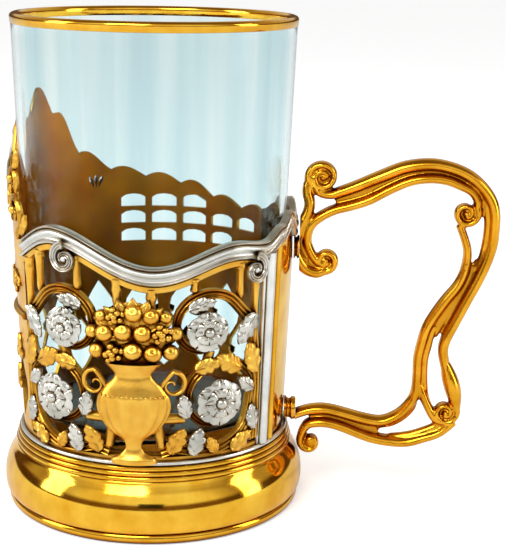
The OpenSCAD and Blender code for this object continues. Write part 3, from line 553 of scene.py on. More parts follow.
# Volutes at the strands' ends: eye, radius in mm, start and sweep in degrees, half width and boss in mm
CURLS = [((0.134, 0.94), 3.6, 200, -560, 1.0, 0.8), ((0.828, 0.834), 3.1, 22, -480, 0.95, 0.85),
         ((0.157, 0.668), 2.75, -100, 430, 1.1, 1.0), ((0.105, 0.045), 2.6, 150, 380, 1.0, 1.45),
         ((0.775, 0.162), 3.0, 15, -500, 0.9, 0.8)]
# Fillers broaden a strand on its inner side, webs close the groove between two strands, and a
# thumb leaf swells on the outer strand: their points, as shares too
FILLERS = [[(0.87, 0.93), (0.915, 0.885), (0.933, 0.83), (0.936, 0.775), (0.925, 0.715), (0.895, 0.65)],
           [(0.7, 0.455), (0.68, 0.4), (0.662, 0.345), (0.66, 0.29), (0.668, 0.235), (0.69, 0.19)],
           [(0.5, 0.072), (0.59, 0.075), (0.67, 0.092), (0.745, 0.115), (0.79, 0.14)],
           [(0.44, 0.105), (0.53, 0.125), (0.6, 0.165), (0.628, 0.21)],
           [(0.03, 0.75), (0.035, 0.71), (0.06, 0.67), (0.11, 0.645)]]
WEBS = [[(0.2, 0.86), (0.35, 0.9), (0.54, 0.957), (0.65, 0.968), (0.75, 0.96), (0.84, 0.93)],
        [(0.9, 0.68), (0.855, 0.61), (0.79, 0.54), (0.73, 0.47), (0.7, 0.42)],
        [(0.45, 0.095), (0.36, 0.107), (0.26, 0.125), (0.17, 0.137), (0.1, 0.13)]]
THUMB = [(0.756, 0.355), (0.768, 0.325), (0.783, 0.292), (0.801, 0.257), (0.816, 0.222), (0.826, 0.19),
         (0.83, 0.165)]


def handle_point(share):
    return HANDLE_X + HANDLE_REACH * share[0], HANDLE_Z + HANDLE_RISE * share[1]


def strand(shares, start, middle, end, width, depth):
    points = smooth([handle_point(share) for share in shares], 4)
    n = len(points) - 1
    path = []
    for i, (x, z) in enumerate(points):
        s = i / n
        near = start if s < 0.5 else end
        size = near + (middle - near) * min(1, 4 * min(s, 1 - s))
        path.append((x, z, width * size, depth * (0.4 + 0.6 * size)))
    return sweep(path, ROUND)


print("handle strands:", len(STRANDS), "volutes:", len(CURLS))

# %% Sweep the strands, the volutes and the thumb leaf
handle_bm = bmesh.new()
for start, middle, end, shares in STRANDS.values():
    join_into(handle_bm, strand(shares, start, middle, end, STRAND_W, STRAND_D))
for lines, wide, deep in ((FILLERS, 0.8, 0.55), (WEBS, 1.15, 0.3)):
    for shares in lines:
        join_into(handle_bm, strand(shares, 0.6, 1, 0.6, STRAND_W * wide, STRAND_D * deep))
thumb_line = smooth([handle_point(share) for share in THUMB], 6)
thumb_path = []
for i, (x, z) in enumerate(thumb_line):
    swell = math.sin(math.pi * (0.06 + 0.86 * i / (len(thumb_line) - 1)))
    thumb_path.append((x, z, STRAND_W * 1.6 * swell, STRAND_D * (0.55 + 0.7 * swell)))
join_into(handle_bm, sweep(thumb_path, ROUND))
for share, radius, start, sweep_deg, width, boss in CURLS:
    x, z = handle_point(share)
    curl = spiral(x, z, radius, start, sweep_deg, width, STRAND_D * 0.92, 0.28)
    join_into(handle_bm, sweep(curl, ROUND))
    for size, flat in ((boss, STRAND_D * 0.95 / boss), (radius * 0.75, 0.4)):
        add_ball(handle_bm, (x, 0, z), size, 20, 12, flat)
print("vertices of the strands:", len(handle_bm.verts))

# %% [markdown]
# In the casting the strands run into each other with soft fillets. Booleans would leave sharp
# seams there. A voxel remesh melts all the strands into one closed skin, and a few rounds of
# smoothing round the seams off. Where the handle meets the wall, it is cut flat for the collars.

# %% Melt into one skin and cut at the wall
def melt(bm, voxel_mm, rounds):
    mesh = bpy.data.meshes.new("melt")
    bm.to_mesh(mesh)
    bm.free()
    rough = bpy.data.objects.new("melt", mesh)
    bpy.context.scene.collection.objects.link(rough)
    remesh = rough.modifiers.new("remesh", "REMESH")
    remesh.mode, remesh.voxel_size = "VOXEL", voxel_mm
    settle = rough.modifiers.new("smooth", "SMOOTH")
    settle.factor, settle.iterations = 0.5, rounds
    bpy.context.view_layer.update()
    whole = bpy.data.meshes.new_from_object(rough.evaluated_get(bpy.context.evaluated_depsgraph_get()))
    out = bmesh.new()
    out.from_mesh(whole)
    bpy.data.objects.remove(rough)
    bpy.data.meshes.remove(mesh)
    bpy.data.meshes.remove(whole)
    return out


def cut_flat(bm, point, normal):
    bmesh.ops.bisect_plane(bm, geom=bm.verts[:] + bm.edges[:] + bm.faces[:], plane_co=point,
                           plane_no=normal, clear_inner=True)
    bmesh.ops.holes_fill(bm, edges=[edge for edge in bm.edges if edge.is_boundary], sides=0)


handle_bm = melt(handle_bm, 0.3, 6)
cut_flat(handle_bm, (PAD_X, 0, 0), (1, 0, 0))
finish_piece("cast_handle", handle_bm, cast_gold, ["handle"], sharp=75)

# %% [markdown]
# Two small turned collars carry the handle on the wall. Each is a flange on the wall, a waist
# and a bead under the handle, so a short moulded outline is spun upright and laid along x.

# %% Turned collars
PAD_R = 3.0
for name, z, node in (("collar_above", HANDLE_Z + HANDLE_RISE * 0.71, "handle_pad_upper"),
                      ("collar_below", FOOT_H + RING_H + PAD_R + FIT, "handle_pad_lower")):
    x0 = wall_r(z + PAD_R) + WALL_T + FIT
    span = PAD_X - FIT - x0
    collar_line = [(POLE_R, 0), (PAD_R, 0), (PAD_R, span * 0.12)]
    collar_line += [(PAD_R * (0.8 + 0.2 * (1 - i / 5) ** 2), span * (0.16 + 0.05 * i)) for i in range(11)]
    collar_line += [(PAD_R * (0.97 - 0.09 * (i / 4) ** 2), span * (0.7 + 0.075 * i)) for i in range(5)]
    collar_bm = spin_outline(collar_line + [(POLE_R, span)], 64)
    lay_down = Matrix.Translation((x0, 0, z)) @ Matrix.Rotation(math.pi / 2, 4, "Y")
    bmesh.ops.transform(collar_bm, matrix=lay_down, verts=collar_bm.verts[:])
    finish_piece(name, collar_bm, cast_gold, [node])

# %% [markdown]
# ## The silver border
# A band with flutes follows the wave over the relief. A plain tube bent round the wall would
# lean over on the slopes, while the cast border keeps its full height everywhere. So one fluted
# section, which stays upright, is swept along the wave and wrapped round the wall.

# %% Border along the wave
# The section as (share of the height below the wave's top, share of the thickness)
BORDER = [(0.0, 0.0), (0.0, 0.55), (-0.03, 0.74), (-0.08, 0.85), (-0.13, 0.8), (-0.165, 0.66), (-0.2, 0.62),
          (-0.26, 0.82), (-0.33, 0.95), (-0.4, 0.97), (-0.47, 0.9), (-0.54, 0.78), (-0.62, 0.69), (-0.7, 0.66),
          (-0.77, 0.72), (-0.82, 0.86), (-0.88, 0.95), (-0.94, 0.88), (-0.98, 0.72), (-1.0, 0.5), (-1.0, 0.0)]


def angles_between(start, end, step):
    n = math.ceil((end - start) / step)
    return [start + (end - start) * i / n for i in range(n + 1)]


def round_path(start, end, step, z_at, width, height):
    return [(to_along(angle), z_at(angle), width, height) for angle in angles_between(start, end, step)]


def hung(section):
    return [(-a, b) for a, b in section]


for name, start, end, node in (("border_over_relief", FRONT_A, COLUMN_A, "border_front"),
                               ("border_at_handle", COLUMN_A, COLUMN_END_A, "border_handle")):
    border_path = round_path(start, end, 1.5, wave_top, BORDER_H, BORDER_T)
    border_bm = sweep(border_path, hung(BORDER), upright=True)
    wrap(border_bm, 0)
    finish_piece(name, border_bm, polished_silver, [node], sharp=50)

# %% [markdown]
# Two volutes curl out of the border over the relief. They are narrow fluted sweeps along a
# spiral round a small boss, drawn flat and then wrapped, like the scrolls of the relief.

# %% Volutes of the border
VOLUTE_R, VOLUTE_W, VOLUTE_T, VOLUTE_OUT, VOLUTE_BOSS_R = BORDER_H * 0.75, 0.95, 1.15, WALL_T + 1.03, 0.75
# Each as (angle round the wall, start and sweep of its spiral in degrees)
VOLUTES = ((-119, 100, 480), (-43, 80, -480))
volutes_bm = bmesh.new()
for centre_a, start, sweep_deg in VOLUTES:
    z = wave_top(centre_a) - BORDER_H * 1.5
    part = sweep(spiral(0, z, VOLUTE_R, start, sweep_deg, VOLUTE_W, VOLUTE_T), FLUTED, VOLUTE_OUT)
    add_ball(part, (0, -WALL_T - 1.4, z), VOLUTE_BOSS_R, 16, 10)
    wrap_into(volutes_bm, part, centre_a)
finish_piece("border_scroll_ends", volutes_bm, polished_silver, ["border_volutes"])

# %% [markdown]
# ## Openwork of the front
# Two rails carry a pair of scrolled stems on each side of an urn. Such openwork could be cut
# from a curved sheet, but its stems are round and ridged, so they are fluted sweeps with a
# smooth curve through a few points, and each ends in a spiral. Short plain ties join them,
# which the founder needs so that the metal fills every branch, and turned pegs rise to the rail.

# %% Points of the openwork
STEM_W, STEM_BACK, RAIL_H, RELIEF_T = 1.25, WALL_T / 6, 1.6, 1.0
STEM_T, STEM_LOW = WALL_T + RELIEF_T, FOOT_H + RING_H
STEM_H = STEM_T - STEM_BACK
STEM_TALL = WAVE_Z - BORDER_H - STEM_LOW
HALF_FRONT = (COLUMN_A - FRONT_A) / 2 / to_angle(1)
SCROLL_R = math.sqrt(HALF_FRONT * STEM_TALL) * 0.307
# Points are shares of half the front's width and of the stems' height
LOWER = [(0.19, 0.05), (0.3, 0.07), (0.45, 0.05), (0.68, 0.06), (0.86, 0.16), (0.92, 0.36)]
UPPER = [(0.95, 0.05), (0.95, 0.3), (0.94, 0.52), (0.89, 0.76)]
LOWER_EYE, UPPER_EYE = (0.6, 0.33), (0.5, 0.745)
# Each stem as (points, eye, radius as a share of SCROLL_R, start and sweep of its spiral in degrees)
STEMS = ((LOWER, LOWER_EYE, 0.95, 25, 420), (UPPER, UPPER_EYE, 0.85, 35, 400))
TIES = [[(0.52, 0.54), (0.55, 0.62)], [(0.2, 0.08), (0.14, 0.3)], [(0.28, 0.72), (0.1, 0.6)],
        [(0.36, 0.24), (0.14, 0.24)], [(0.92, 0.36), (0.95, 0.4)]]
RISERS = [(0.42, 0.96), (0.78, 0.9), (0.93, 0.6), (0.12, 0.62)]
# A riser as (share of its height, width, height): a pointed root, a waist and a bud under the rail
RISER = [(-0.06, 0.3, 0.35), (0.1, 0.75, 0.7), (0.4, 0.6, 0.72), (0.75, 0.75, 0.78), (0.86, 1.05, 0.86),
         (0.93, 0.95, 0.84), (1.0, 1.15, 0.8)]


def front_point(side, share):
    return side * HALF_FRONT * share[0], STEM_LOW + STEM_TALL * share[1]


def band(start, end, low, high, d0, d1):
    path = [(to_along(a), low(a), high(a) - low(a), 1) for a in angles_between(start, end, 1)]
    rounded = min(0.3, (d1 - d0) / 3)
    section = [(0, d0), (0, d1 - rounded), (-0.12, d1), (-0.88, d1), (-1, d1 - rounded), (-1, d0)]
    bm = sweep(path, section, upright=True)
    wrap(bm, 0)
    return bm


def under_border(angle):
    return wave_top(angle) - BORDER_H


print("half of the front:", round(HALF_FRONT, 1), "mm, scroll radius:", round(SCROLL_R, 1), "mm")

# %% Rails, scrolled stems, ties and pegs
front_bm = bmesh.new()
join_into(front_bm, band(FRONT_A, COLUMN_A, lambda a: FOOT_H, lambda a: STEM_LOW + RAIL_H * 0.7, 0, WALL_T))
join_into(front_bm, band(FRONT_A, COLUMN_A, lambda a: under_border(a) - RAIL_H, under_border, 0, WALL_T + 0.3))
for side in (-1, 1):
    for shares, eye, radius, start, sweep_deg in STEMS:
        line = [front_point(1, share) + (STEM_W, STEM_H) for share in shares]
        eye_x, eye_z = front_point(1, eye)
        curl = spiral(eye_x, eye_z, SCROLL_R * radius, start, sweep_deg, STEM_W, STEM_H)
        part = sweep([(side * x, z, w, h) for x, z, w, h in smooth(line, 6) + curl], FLUTED, STEM_BACK)
        add_ball(part, (side * eye_x, -STEM_BACK - STEM_W * 0.9, eye_z), STEM_W * 1.05, 20, 12)
        wrap_into(front_bm, part, URN_A)
    for tie in TIES:
        path = [front_point(side, share) + (STEM_W, STEM_H - 0.5) for share in tie]
        wrap_into(front_bm, sweep(smooth(path, 3), DOMED, STEM_BACK), URN_A)
    for share in RISERS:
        x, z = front_point(side, share)
        top = under_border(URN_A + to_angle(x)) - RAIL_H / 2
        peg = [(x, z + (top - z) * t, STEM_W * w, STEM_H * h) for t, w, h in RISER]
        wrap_into(front_bm, sweep(smooth(peg, 4), DOMED, STEM_BACK), URN_A)
finish_piece("openwork_scrolls", front_bm, wall_gold, ["wall_front"])

# %% [markdown]
# ## Leaves
# The relief's leaves are the old acanthus kind: a lobed edge, a raised midrib, veins that run to
# each lobe, and a tip that curls away from the wall. They could be sculpted one by one, but a
# formula bends any number of them and keeps them crisp when a size changes. Each starts as a
# small grid, its vertices move to the leaf's outline and height, and solidify gives thickness.

# %% A carved leaf
def settle_leaf(bm, x, z, angle_deg, depth):
    c, s = math.cos(math.radians(angle_deg)), math.sin(math.radians(angle_deg))
    lowest = min(v.co.z for v in bm.verts)
    for v in bm.verts:
        a, b, h = v.co
        v.co = Vector((x + a * c - b * s, -depth - max(h, lowest * 0.2), z + a * s + b * c))
    return bm


def leaf(x, z, angle_deg, length, width, depth, height=1.0, lobes=3, cells=(24, 10)):
    bm = bmesh.new()
    bmesh.ops.create_grid(bm, x_segments=cells[0], y_segments=cells[1], size=0.5)
    for v in bm.verts:
        # s runs from the stalk to the tip, and t across the leaf from -1 to 1
        s, t = v.co.x + 0.5, v.co.y * 2
        outline = math.sin(math.pi * (0.08 + 0.92 * s) ** 0.85) ** 0.8 if s < 1 else 0
        outline *= 1 - 0.24 * (1 - abs(math.sin(math.pi * lobes * s))) * (1 - s * 0.5)
        slant = s - 0.3 * abs(t) * (1 - s * 0.5)
        veins = 0.17 * math.cos(math.tau * lobes * slant) * abs(t) ** 0.6
        midrib = 0.34 * math.exp(-(t / 0.13) ** 2) * (1 - s) - 0.12 * math.exp(-((abs(t) - 0.24) / 0.1) ** 2)
        cup = 0.75 * (1 - 0.6 * t * t) + 0.3 * s * s * (1 - s) * 2
        v.co = Vector(((s + 0.04 * outline * abs(t)) * length * 0.97,
                       t * width * max(outline, 0.02) / 2, height * max(cup + veins + midrib, 0.05)))
    bmesh.ops.solidify(bm, geom=bm.faces[:], thickness=height * 0.45)
    return settle_leaf(bm, x, z, angle_deg, depth)


# %% Leaves on the stems
# Each as (share across, share up, direction in degrees, length as a share of the stems' height)
SILVER_LEAVES = [(0.42, 0.03, 75, 0.17), (0.93, 0.12, 100, 0.16), (0.9, 0.36, 140, 0.14),
                 (0.37, 0.25, 100, 0.15), (0.9, 0.8, 235, 0.2), (0.37, 0.87, 15, 0.16)]
GILT_LEAVES = [(0.72, 0.03, 30, 0.17), (0.25, 0.05, 60, 0.17), (0.93, 0.46, 110, 0.2),
               (0.6, 0.03, 120, 0.12), (0.42, 0.53, 10, 0.16), (0.78, 0.5, 150, 0.19)]
for name, table, material, slot, node in (
        ("silver_acanthus", SILVER_LEAVES, carved_silver, "silver", "silver_leaves"),
        ("gilt_acanthus", GILT_LEAVES, satin_gold, "gilt_satin", "gilt_leaves")):
    leaves_bm = bmesh.new()
    for side in (-1, 1):
        for u, v, angle, share in table:
            x, z = front_point(side, (u, v))
            part = leaf(x, z, angle if side > 0 else 180 - angle, STEM_TALL * share, STEM_TALL * share * 0.62,
                        STEM_T - 0.35)
            wrap_into(leaves_bm, part, URN_A)
    finish_piece(name, leaves_bm, material, [node], sharp=70)

# %% [markdown]
# ## Blossoms
# Each blossom has two rings of petals round a beaded heart. Petals pushed out of one disc would
# run into each other, so a petal is a broad leaf without lobes, made as the leaves are, and the
# second ring is smaller, higher and turned by half a petal.

# %% Silver blossoms in the scrolls
# A ring of petals as (reach, lift in mm, width for six petals), and where a petal is widest
RINGS, WIDEST, HEART_BEADS = ((1.0, 0.0, 0.98), (0.64, 0.55, 0.66)), 0.62, 8
# A blossom as (eye, radius as a share of the scroll's, petals)
BLOSSOMS, BLOSSOM_BACK = ((LOWER_EYE, 0.5, 6), (UPPER_EYE, 0.42, 5)), STEM_BACK * 1.5 + STEM_W * 1.8


def petal(x, z, angle_deg, length, width, depth):
    bm = bmesh.new()
    bmesh.ops.create_grid(bm, x_segments=12, y_segments=10, size=0.5)
    for v in bm.verts:
        s, t = v.co.x + 0.5, v.co.y * 2
        if s < WIDEST:
            outline = 0.3 + 0.7 * math.sin(math.pi / 2 * s / WIDEST)
        else:
            outline = math.sqrt(max(0.02, 1 - ((s - WIDEST) / (1 - WIDEST)) ** 2))
        reach = s - 0.06 * s ** 6 * math.exp(-(t / 0.2) ** 2) * 2
        dome = 0.25 + 0.9 * math.sin(math.pi * 0.82 * s) - 0.3 * t * t
        crease = 0.24 * math.exp(-(t / 0.14) ** 2) + 0.1 * math.cos(3 * math.pi * t) * s
        v.co = Vector((reach * length, t * width * outline / 2, max(dome - crease, 0.1)))
    bmesh.ops.solidify(bm, geom=bm.faces[:], thickness=0.4)
    return settle_leaf(bm, x, z, angle_deg, depth)


def blossom(x, z, radius, petals, depth):
    bm = bmesh.new()
    for ring, (reach, lift, wide) in enumerate(RINGS):
        for i in range(petals):
            angle = 360 * (i + ring / 2) / petals + 90
            width = radius * (wide * 6 / petals)
            join_into(bm, petal(x, z, angle, radius * reach, width, depth + lift))
    add_ball(bm, (x, -depth - 1.2, z), radius * 0.24, 18, 10)
    for i in range(HEART_BEADS):
        angle = math.tau * i / HEART_BEADS
        spot = (x + radius * 0.3 * math.cos(angle), -depth - 1.15, z + radius * 0.3 * math.sin(angle))
        add_ball(bm, spot, radius * 0.09, 8, 6)
    return bm


blossoms_bm = bmesh.new()
for side in (-1, 1):
    for eye, reach, petals in BLOSSOMS:
        x, z = front_point(side, eye)
        wrap_into(blossoms_bm, blossom(x, z, SCROLL_R * reach, petals, BLOSSOM_BACK), URN_A)
finish_piece("silver_blossoms", blossoms_bm, carved_silver, ["rosettes"], sharp=70)

# %% [markdown]
# ## The urn
# A gadrooned urn stands in the middle. Gadroons are the rounded flutes that a chaser raises on a
# belly. They could be ribs laid on it, but then the belly between them would stay flat. So the
# urn is a full spin of its outline, its belly is pushed in and out round the axis, and then it
# is flattened and cut in half, because it is a relief. Its ears are spiral sweeps.

# %% Gadrooned urn with scrolled ears
# The outline as (share of the height, share of the half width)
URN = [(0, 0.62), (0.05, 0.6), (0.1, 0.35), (0.16, 0.22), (0.24, 0.3), (0.34, 0.7), (0.5, 0.98),
       (0.64, 1), (0.76, 0.8), (0.86, 0.52), (0.92, 0.55), (1, 0.8)]
EAR = [(0.72, 0.74, 0.5), (0.95, 0.86, 0.55), (1.12, 0.92, 0.6)]
URN_H, URN_Z = STEM_TALL * 0.58, STEM_LOW + FIT
URN_W = URN_H * 0.33
URN_T = URN_W * 0.28
SAG = URN_W * URN_W / wall_r(WAVE_Z) / 2
URN_BACK = STEM_T + FIT + SAG * 0.6
URN_STEPS, GADROONS, BEADS, EAR_H = 160, 16, 15, 0.9


def urn_z(share):
    return URN_Z + URN_H * share


urn_line = [(URN_W * w, urn_z(h)) for h, w in smooth(URN, 6)]
urn_line = [(POLE_R, urn_line[0][1])] + urn_line + [(POLE_R, urn_line[-1][1])]
body_bm = spin_outline(urn_line, URN_STEPS, closed=False)
for v in body_bm.verts:
    share = (v.co.z - URN_Z) / URN_H
    angle = math.atan2(v.co.y, v.co.x)
    belly = max(0, math.sin(math.pi * min(1, max(0, (share - 0.26) / 0.44))))
    collar = 1 if 0.66 < share < 0.7 or 0.9 < share < 0.95 or share < 0.05 else 0
    swell = 1 + 0.2 * belly * (abs(math.sin(GADROONS / 2 * angle)) - 0.75) + 0.04 * collar
    v.co.x *= 1 + (swell - 1) * 0.25
    v.co.y *= swell * URN_T / URN_W * 1.2
cut_flat(body_bm, (0, 0, 0), (0, -1, 0))
bmesh.ops.translate(body_bm, verts=body_bm.verts[:], vec=(0, -URN_BACK, 0))
# The other parts join a fresh bmesh: one that was cut would take them in another order each run
urn_bm = bmesh.new()
join_into(urn_bm, body_bm)
for i in range(BEADS):
    across = -0.84 + 1.68 * i / (BEADS - 1)
    out = URN_BACK + URN_T * 1.05 * math.sqrt(1 - across * across * 0.95)
    add_ball(urn_bm, (URN_W * across, -out, urn_z(0.685)), 0.34, 10, 8)
ear = smooth([(URN_W * u, urn_z(v), w, EAR_H) for u, v, w in EAR], 4)[:-1]
ear += spiral(URN_W * 1.06, urn_z(0.78), URN_H * 0.13, 60, -400, 0.6, EAR_H)
for side in (-1, 1):
    join_into(urn_bm, sweep([(side * x, z, w, h) for x, z, w, h in ear], DOMED, URN_BACK - 0.4))
wrap(urn_bm, URN_A)
finish_piece("gadrooned_urn", urn_bm, satin_gold, ["urn"], sharp=60)

# %% [markdown]
# ## Fruit and leaves
# The urn is heaped with fruit: apples, plums and bunches of small grapes between pointed leaves.
# A single lumpy heap would lose the fruits' clear edges, so each is a ball with a dimple,
# pressed into a low mound. Grapes keep few faces, because there are many.

# %% Heap of fruit
# Each as (share of the urn's half width, share of its height, radius as a share of the half width)
FRUIT = [(-1.0, 1.1, 0.23), (-0.52, 1.09, 0.27), (0, 1.11, 0.29), (0.52, 1.09, 0.27), (1.0, 1.1, 0.23),
         (-1.14, 1.28, 0.2), (-0.76, 1.28, 0.27), (-0.26, 1.3, 0.27), (0.26, 1.29, 0.27), (0.76, 1.29, 0.27),
         (1.14, 1.28, 0.2), (-0.46, 1.45, 0.24), (0.02, 1.48, 0.26), (0.48, 1.45, 0.24), (-0.86, 1.44, 0.18),
         (0.86, 1.44, 0.18)]
BUNCHES, GRAPES, FRUIT_LEAVES = (1, 9, 11), 9, 9
HEAP = [(1.0, 0.62), (1.15, 0.85), (1.35, 0.85), (1.5, 0.52), (1.58, 0.2)]


def bunch_of_grapes(bm, x, z, radius, depth):
    for k in range(GRAPES):
        angle, reach = 2.4 * k, radius * 0.32 * math.sqrt(k)
        spot = (x + reach * math.cos(angle), -depth - radius * (0.8 - 0.05 * k), z + reach * math.sin(angle))
        add_ball(bm, spot, radius * 0.36, 12, 8)


def round_fruit(bm, x, z, radius, depth):
    for v in add_ball(bm, (0, 0, 0), 1, 24, 16):
        x0, y0, z0 = v.co
        dimple = 1 - 0.34 * math.exp(-((x0 / 0.2) ** 2 + ((y0 + 0.9) / 0.3) ** 2 + ((z0 - 0.5) / 0.2) ** 2))
        r = radius * dimple
        v.co = Vector((x + r * x0, -depth + r * 1.05 * y0, z + r * z0))


fruit_bm = sweep([(0, urn_z(h), URN_W * w, 0.5) for h, w in smooth(HEAP, 4)], DOMED, STEM_T)
for i in range(FRUIT_LEAVES):
    part = leaf(0, urn_z(1.22), 20 * i + 10, URN_H * 0.42, URN_H * 0.17, STEM_T + 0.1 * (1 + i % 2))
    join_into(fruit_bm, part)
for i, (u, v, r) in enumerate(FRUIT):
    add_fruit = bunch_of_grapes if i in BUNCHES else round_fruit
    add_fruit(fruit_bm, URN_W * u, urn_z(v), URN_W * r, STEM_T + 0.38 - 0.25 * u * u)
wrap(fruit_bm, URN_A)
finish_piece("heap_of_fruit", fruit_bm, satin_gold, ["bouquet"], sharp=60)

# %% [markdown]
# ## Columns and the strip under the handle
# Half-round silver columns with a reed on each side frame the relief. The wall's seam is hidden
# under a plain gold strip with a round bead on each edge, behind the handle. All are bars that
# lean with the wall, which a straight extrude wouldn't do, so they are short sweeps, wrapped.

# %% Columns and seam strip
REEDED = [(-1, 0), (-1, 0.5), (-0.9, 0.62), (-0.78, 0.5), (-0.7, 0.46)] + [
    (-0.62 * math.cos(math.pi * i / 12), 0.5 + 0.5 * math.sin(math.pi * i / 12)) for i in range(13)] + [
    (0.7, 0.46), (0.78, 0.5), (0.9, 0.62), (1, 0.5), (1, 0)]
half_column = (STRIP_A - COLUMN_A) / 2 / to_angle(1)


def upright_bar(centre_a, half_width, height, section, inset=0.0):
    low, high = STEM_LOW + FIT, under_border(centre_a) + 0.5
    bm = sweep([(0, low + (high - low) * i / 12, half_width, height) for i in range(13)], section, inset)
    wrap(bm, centre_a)
    return bm


for name, centre_a, node in (("column_at_front", (COLUMN_A + STRIP_A) / 2, "column_front"),
                             ("column_at_back", (STRIP_END_A + COLUMN_END_A) / 2, "column_back")):
    column_bm = upright_bar(centre_a, half_column - FIT, WALL_T + RELIEF_T * 1.4, REEDED)
    finish_piece(name, column_bm, polished_silver, [node])
strip_bm = band(STRIP_A + 0.1, STRIP_END_A - 0.1, lambda a: FOOT_H, lambda a: under_border(a) - FIT, 0, WALL_T)
for centre_a in (STRIP_A + 2.2, STRIP_END_A - 2.2):
    join_into(strip_bm, upright_bar(centre_a, 1.15, 1.0, DOMED, WALL_T - 0.1))
finish_piece("seam_strip_beaded", strip_bm, polished_gold, ["seam_strip"])

# %% [markdown]
# ## Crest and lattice of the back
# The back wall keeps its CAD shape, which is plain sheet with openings: a lattice, a belt, rows
# of panes and a lobed crest. What is soldered on it is made here. The crest's line is kept as
# the wave is, because the bead, the edging and the fans all follow it.

# %% Outline of the crest
CREST_Z, LOBE_RISE, LOBES = 99.3, 1.6, 11
CREST = [(-324, 0.08), (-306, 0.07), (-293, 0.13), (-278, 0.22), (-260, 0.27), (-243, 0.33), (-228, 0.47),
         (-216, 0.76), (-203, 0.95), (-190, 0.76), (-178, 0.55), (-166, 0.45), (-158, 0.4), (-148, 0.1)]
LOBE_A = (FRONT_A - BACK_A) / LOBES
CREST_BASE, CREST_RISE = WAVE_Z + WAVE_RISE * 0.7, CREST_Z - WAVE_Z
SIDE_A, SIDE_SPAN_A = -156, 12


def crest_line(angle):
    return WAVE_Z + CREST_RISE * eased(CREST, angle)


def crest_edge(angle):
    return crest_line(angle) + LOBE_RISE * abs(math.sin(math.pi * (angle - BACK_A) / LOBE_A)) - 0.45


print("crest from", round(crest_line(-324), 1), "to", round(crest_line(-203), 1), "mm")

# %% [markdown]
# Under the crest, petals form fans round a boss, as on many stamped crests. Three small leaves
# sit on each crossing of the lattice, a half-round belt closes it, and a thin bead follows the
# lobes. Fans could be a displaced disc, but separate carved leaves keep the gaps between petals
# sharp, and the leaf function is already there.

# %% Petals, crossings, belt and the bead on the crest
# A fan as (angle, reach as a share of the crest's rise, spread in degrees, petals)
FANS = [(-203, 0.5, 64, 5), (-173, 0.25, 60, 4), (-236, 0.13, 70, 4)]
ROWS, COLUMNS, LATTICE_TALL, LATTICE_LOW = 2, 8, STEM_TALL * 0.67, STEM_LOW + RAIL_H
LATTICE_A, LATTICE_Z = (FRONT_A - BACK_A - 2) / COLUMNS, LATTICE_TALL / (ROWS + 1)
belt_z = LATTICE_LOW + LATTICE_TALL
crest_bm = bmesh.new()
for fan_a, reach, spread, petals in FANS:
    long = CREST_RISE * reach
    for i in range(petals):
        angle = 90 + spread * (i / (petals - 1) - 0.5)
        across, up = math.cos(math.radians(angle)), math.sin(math.radians(angle))
        part = leaf(long * across * 0.36, CREST_BASE + long * up * 0.36, angle, long * 0.66, long * 0.21,
                    WALL_T + 0.05, 0.9, 2)
        wrap_into(crest_bm, part, fan_a)
    part = bmesh.new()
    add_ball(part, (0, -WALL_T, CREST_BASE + long * 0.2), long * 0.13, 24, 12, 0.6)
    wrap_into(crest_bm, part, fan_a)
for row in range(1, ROWS + 1):
    for column in range(1, COLUMNS):
        centre_a = BACK_A + 1 + LATTICE_A * (column + (0.5 if row % 2 == 0 else 0))
        z = LATTICE_LOW + LATTICE_Z * (row - 0.2)
        for angle, size in ((90, 0.62), (30, 0.36), (150, 0.36)):
            part = leaf(0, z, angle, LATTICE_Z * size, LATTICE_Z * 0.3, WALL_T + 0.05, 0.9, 2, (12, 6))
            wrap_into(crest_bm, part, centre_a)
belt_path = round_path(BACK_A + 1, FRONT_A - 1, 2, lambda angle: belt_z, RAIL_H / 2, 1)
wrap_into(crest_bm, sweep(belt_path, DOMED, WALL_T + FIT), 0)
bead_path = round_path(BACK_A, FRONT_A, 1, crest_edge, 0.5, 0.5)
wrap_into(crest_bm, sweep(bead_path, ROUND, WALL_T * 0.5), 0)
print("fans:", len(FANS), "crossings:", ROWS * (COLUMNS - 1))

# %% [markdown]
# The wall between the belt and the crest would be bare at the back, and a caster seldom leaves
# such a field empty, so a low vine trails along it: a wavy half-round stem with leaves and
# berries in its bends. It could be drawn by hand, but a sine gives the even trail of a
# stamped border.

# %% Trailing vine on the plain part of the back wall
VINE_A, VINE_END_A, VINE_WAVES, VINE_RISE = -246, -156, 4.5, 2.6
VINE_Z, VINE_WAVE_A = belt_z + 7.2, (VINE_END_A - VINE_A) / VINE_WAVES
# Leaves as (place in the bend, direction in degrees, length), and a berry's place and radius
VINE_LEAVES = ((-0.1, 100, 3.8), (0.12, 35, 4.4), (-0.34, 150, 3.4))
BERRIES, BERRY_R = ((0, 0), (0.9, 0.3), (0.35, 1.0)), 0.55


def vine_height(angle):
    return VINE_Z + VINE_RISE * math.sin(math.tau * VINE_WAVES * (angle - VINE_A) / (VINE_END_A - VINE_A))


vine_path = round_path(VINE_A, VINE_END_A, 0.8, vine_height, 0.5, 0.75)
wrap_into(crest_bm, sweep(vine_path, DOMED, WALL_T - 0.05), 0)
for i in range(int(2 * VINE_WAVES)):
    up = 1 if i % 2 == 0 else -1
    centre_a = VINE_A + VINE_WAVE_A * (i + 0.5) / 2
    for share, angle, long in VINE_LEAVES:
        place_a = centre_a + VINE_WAVE_A * share / 2
        part = leaf(0, vine_height(place_a) - up * 0.4, -up * angle, long, long * 0.6, WALL_T, 0.8, 3, (14, 6))
        wrap_into(crest_bm, part, place_a)
    part = bmesh.new()
    for x, z in BERRIES:
        add_ball(part, (x, -WALL_T - 0.25, VINE_Z - up * 1.2 - up * z), BERRY_R, 10, 8)
    wrap_into(crest_bm, part, centre_a + VINE_WAVE_A * 0.02)
finish_piece("crest_petals", crest_bm, satin_gold, ["crest_ribs"], sharp=70)

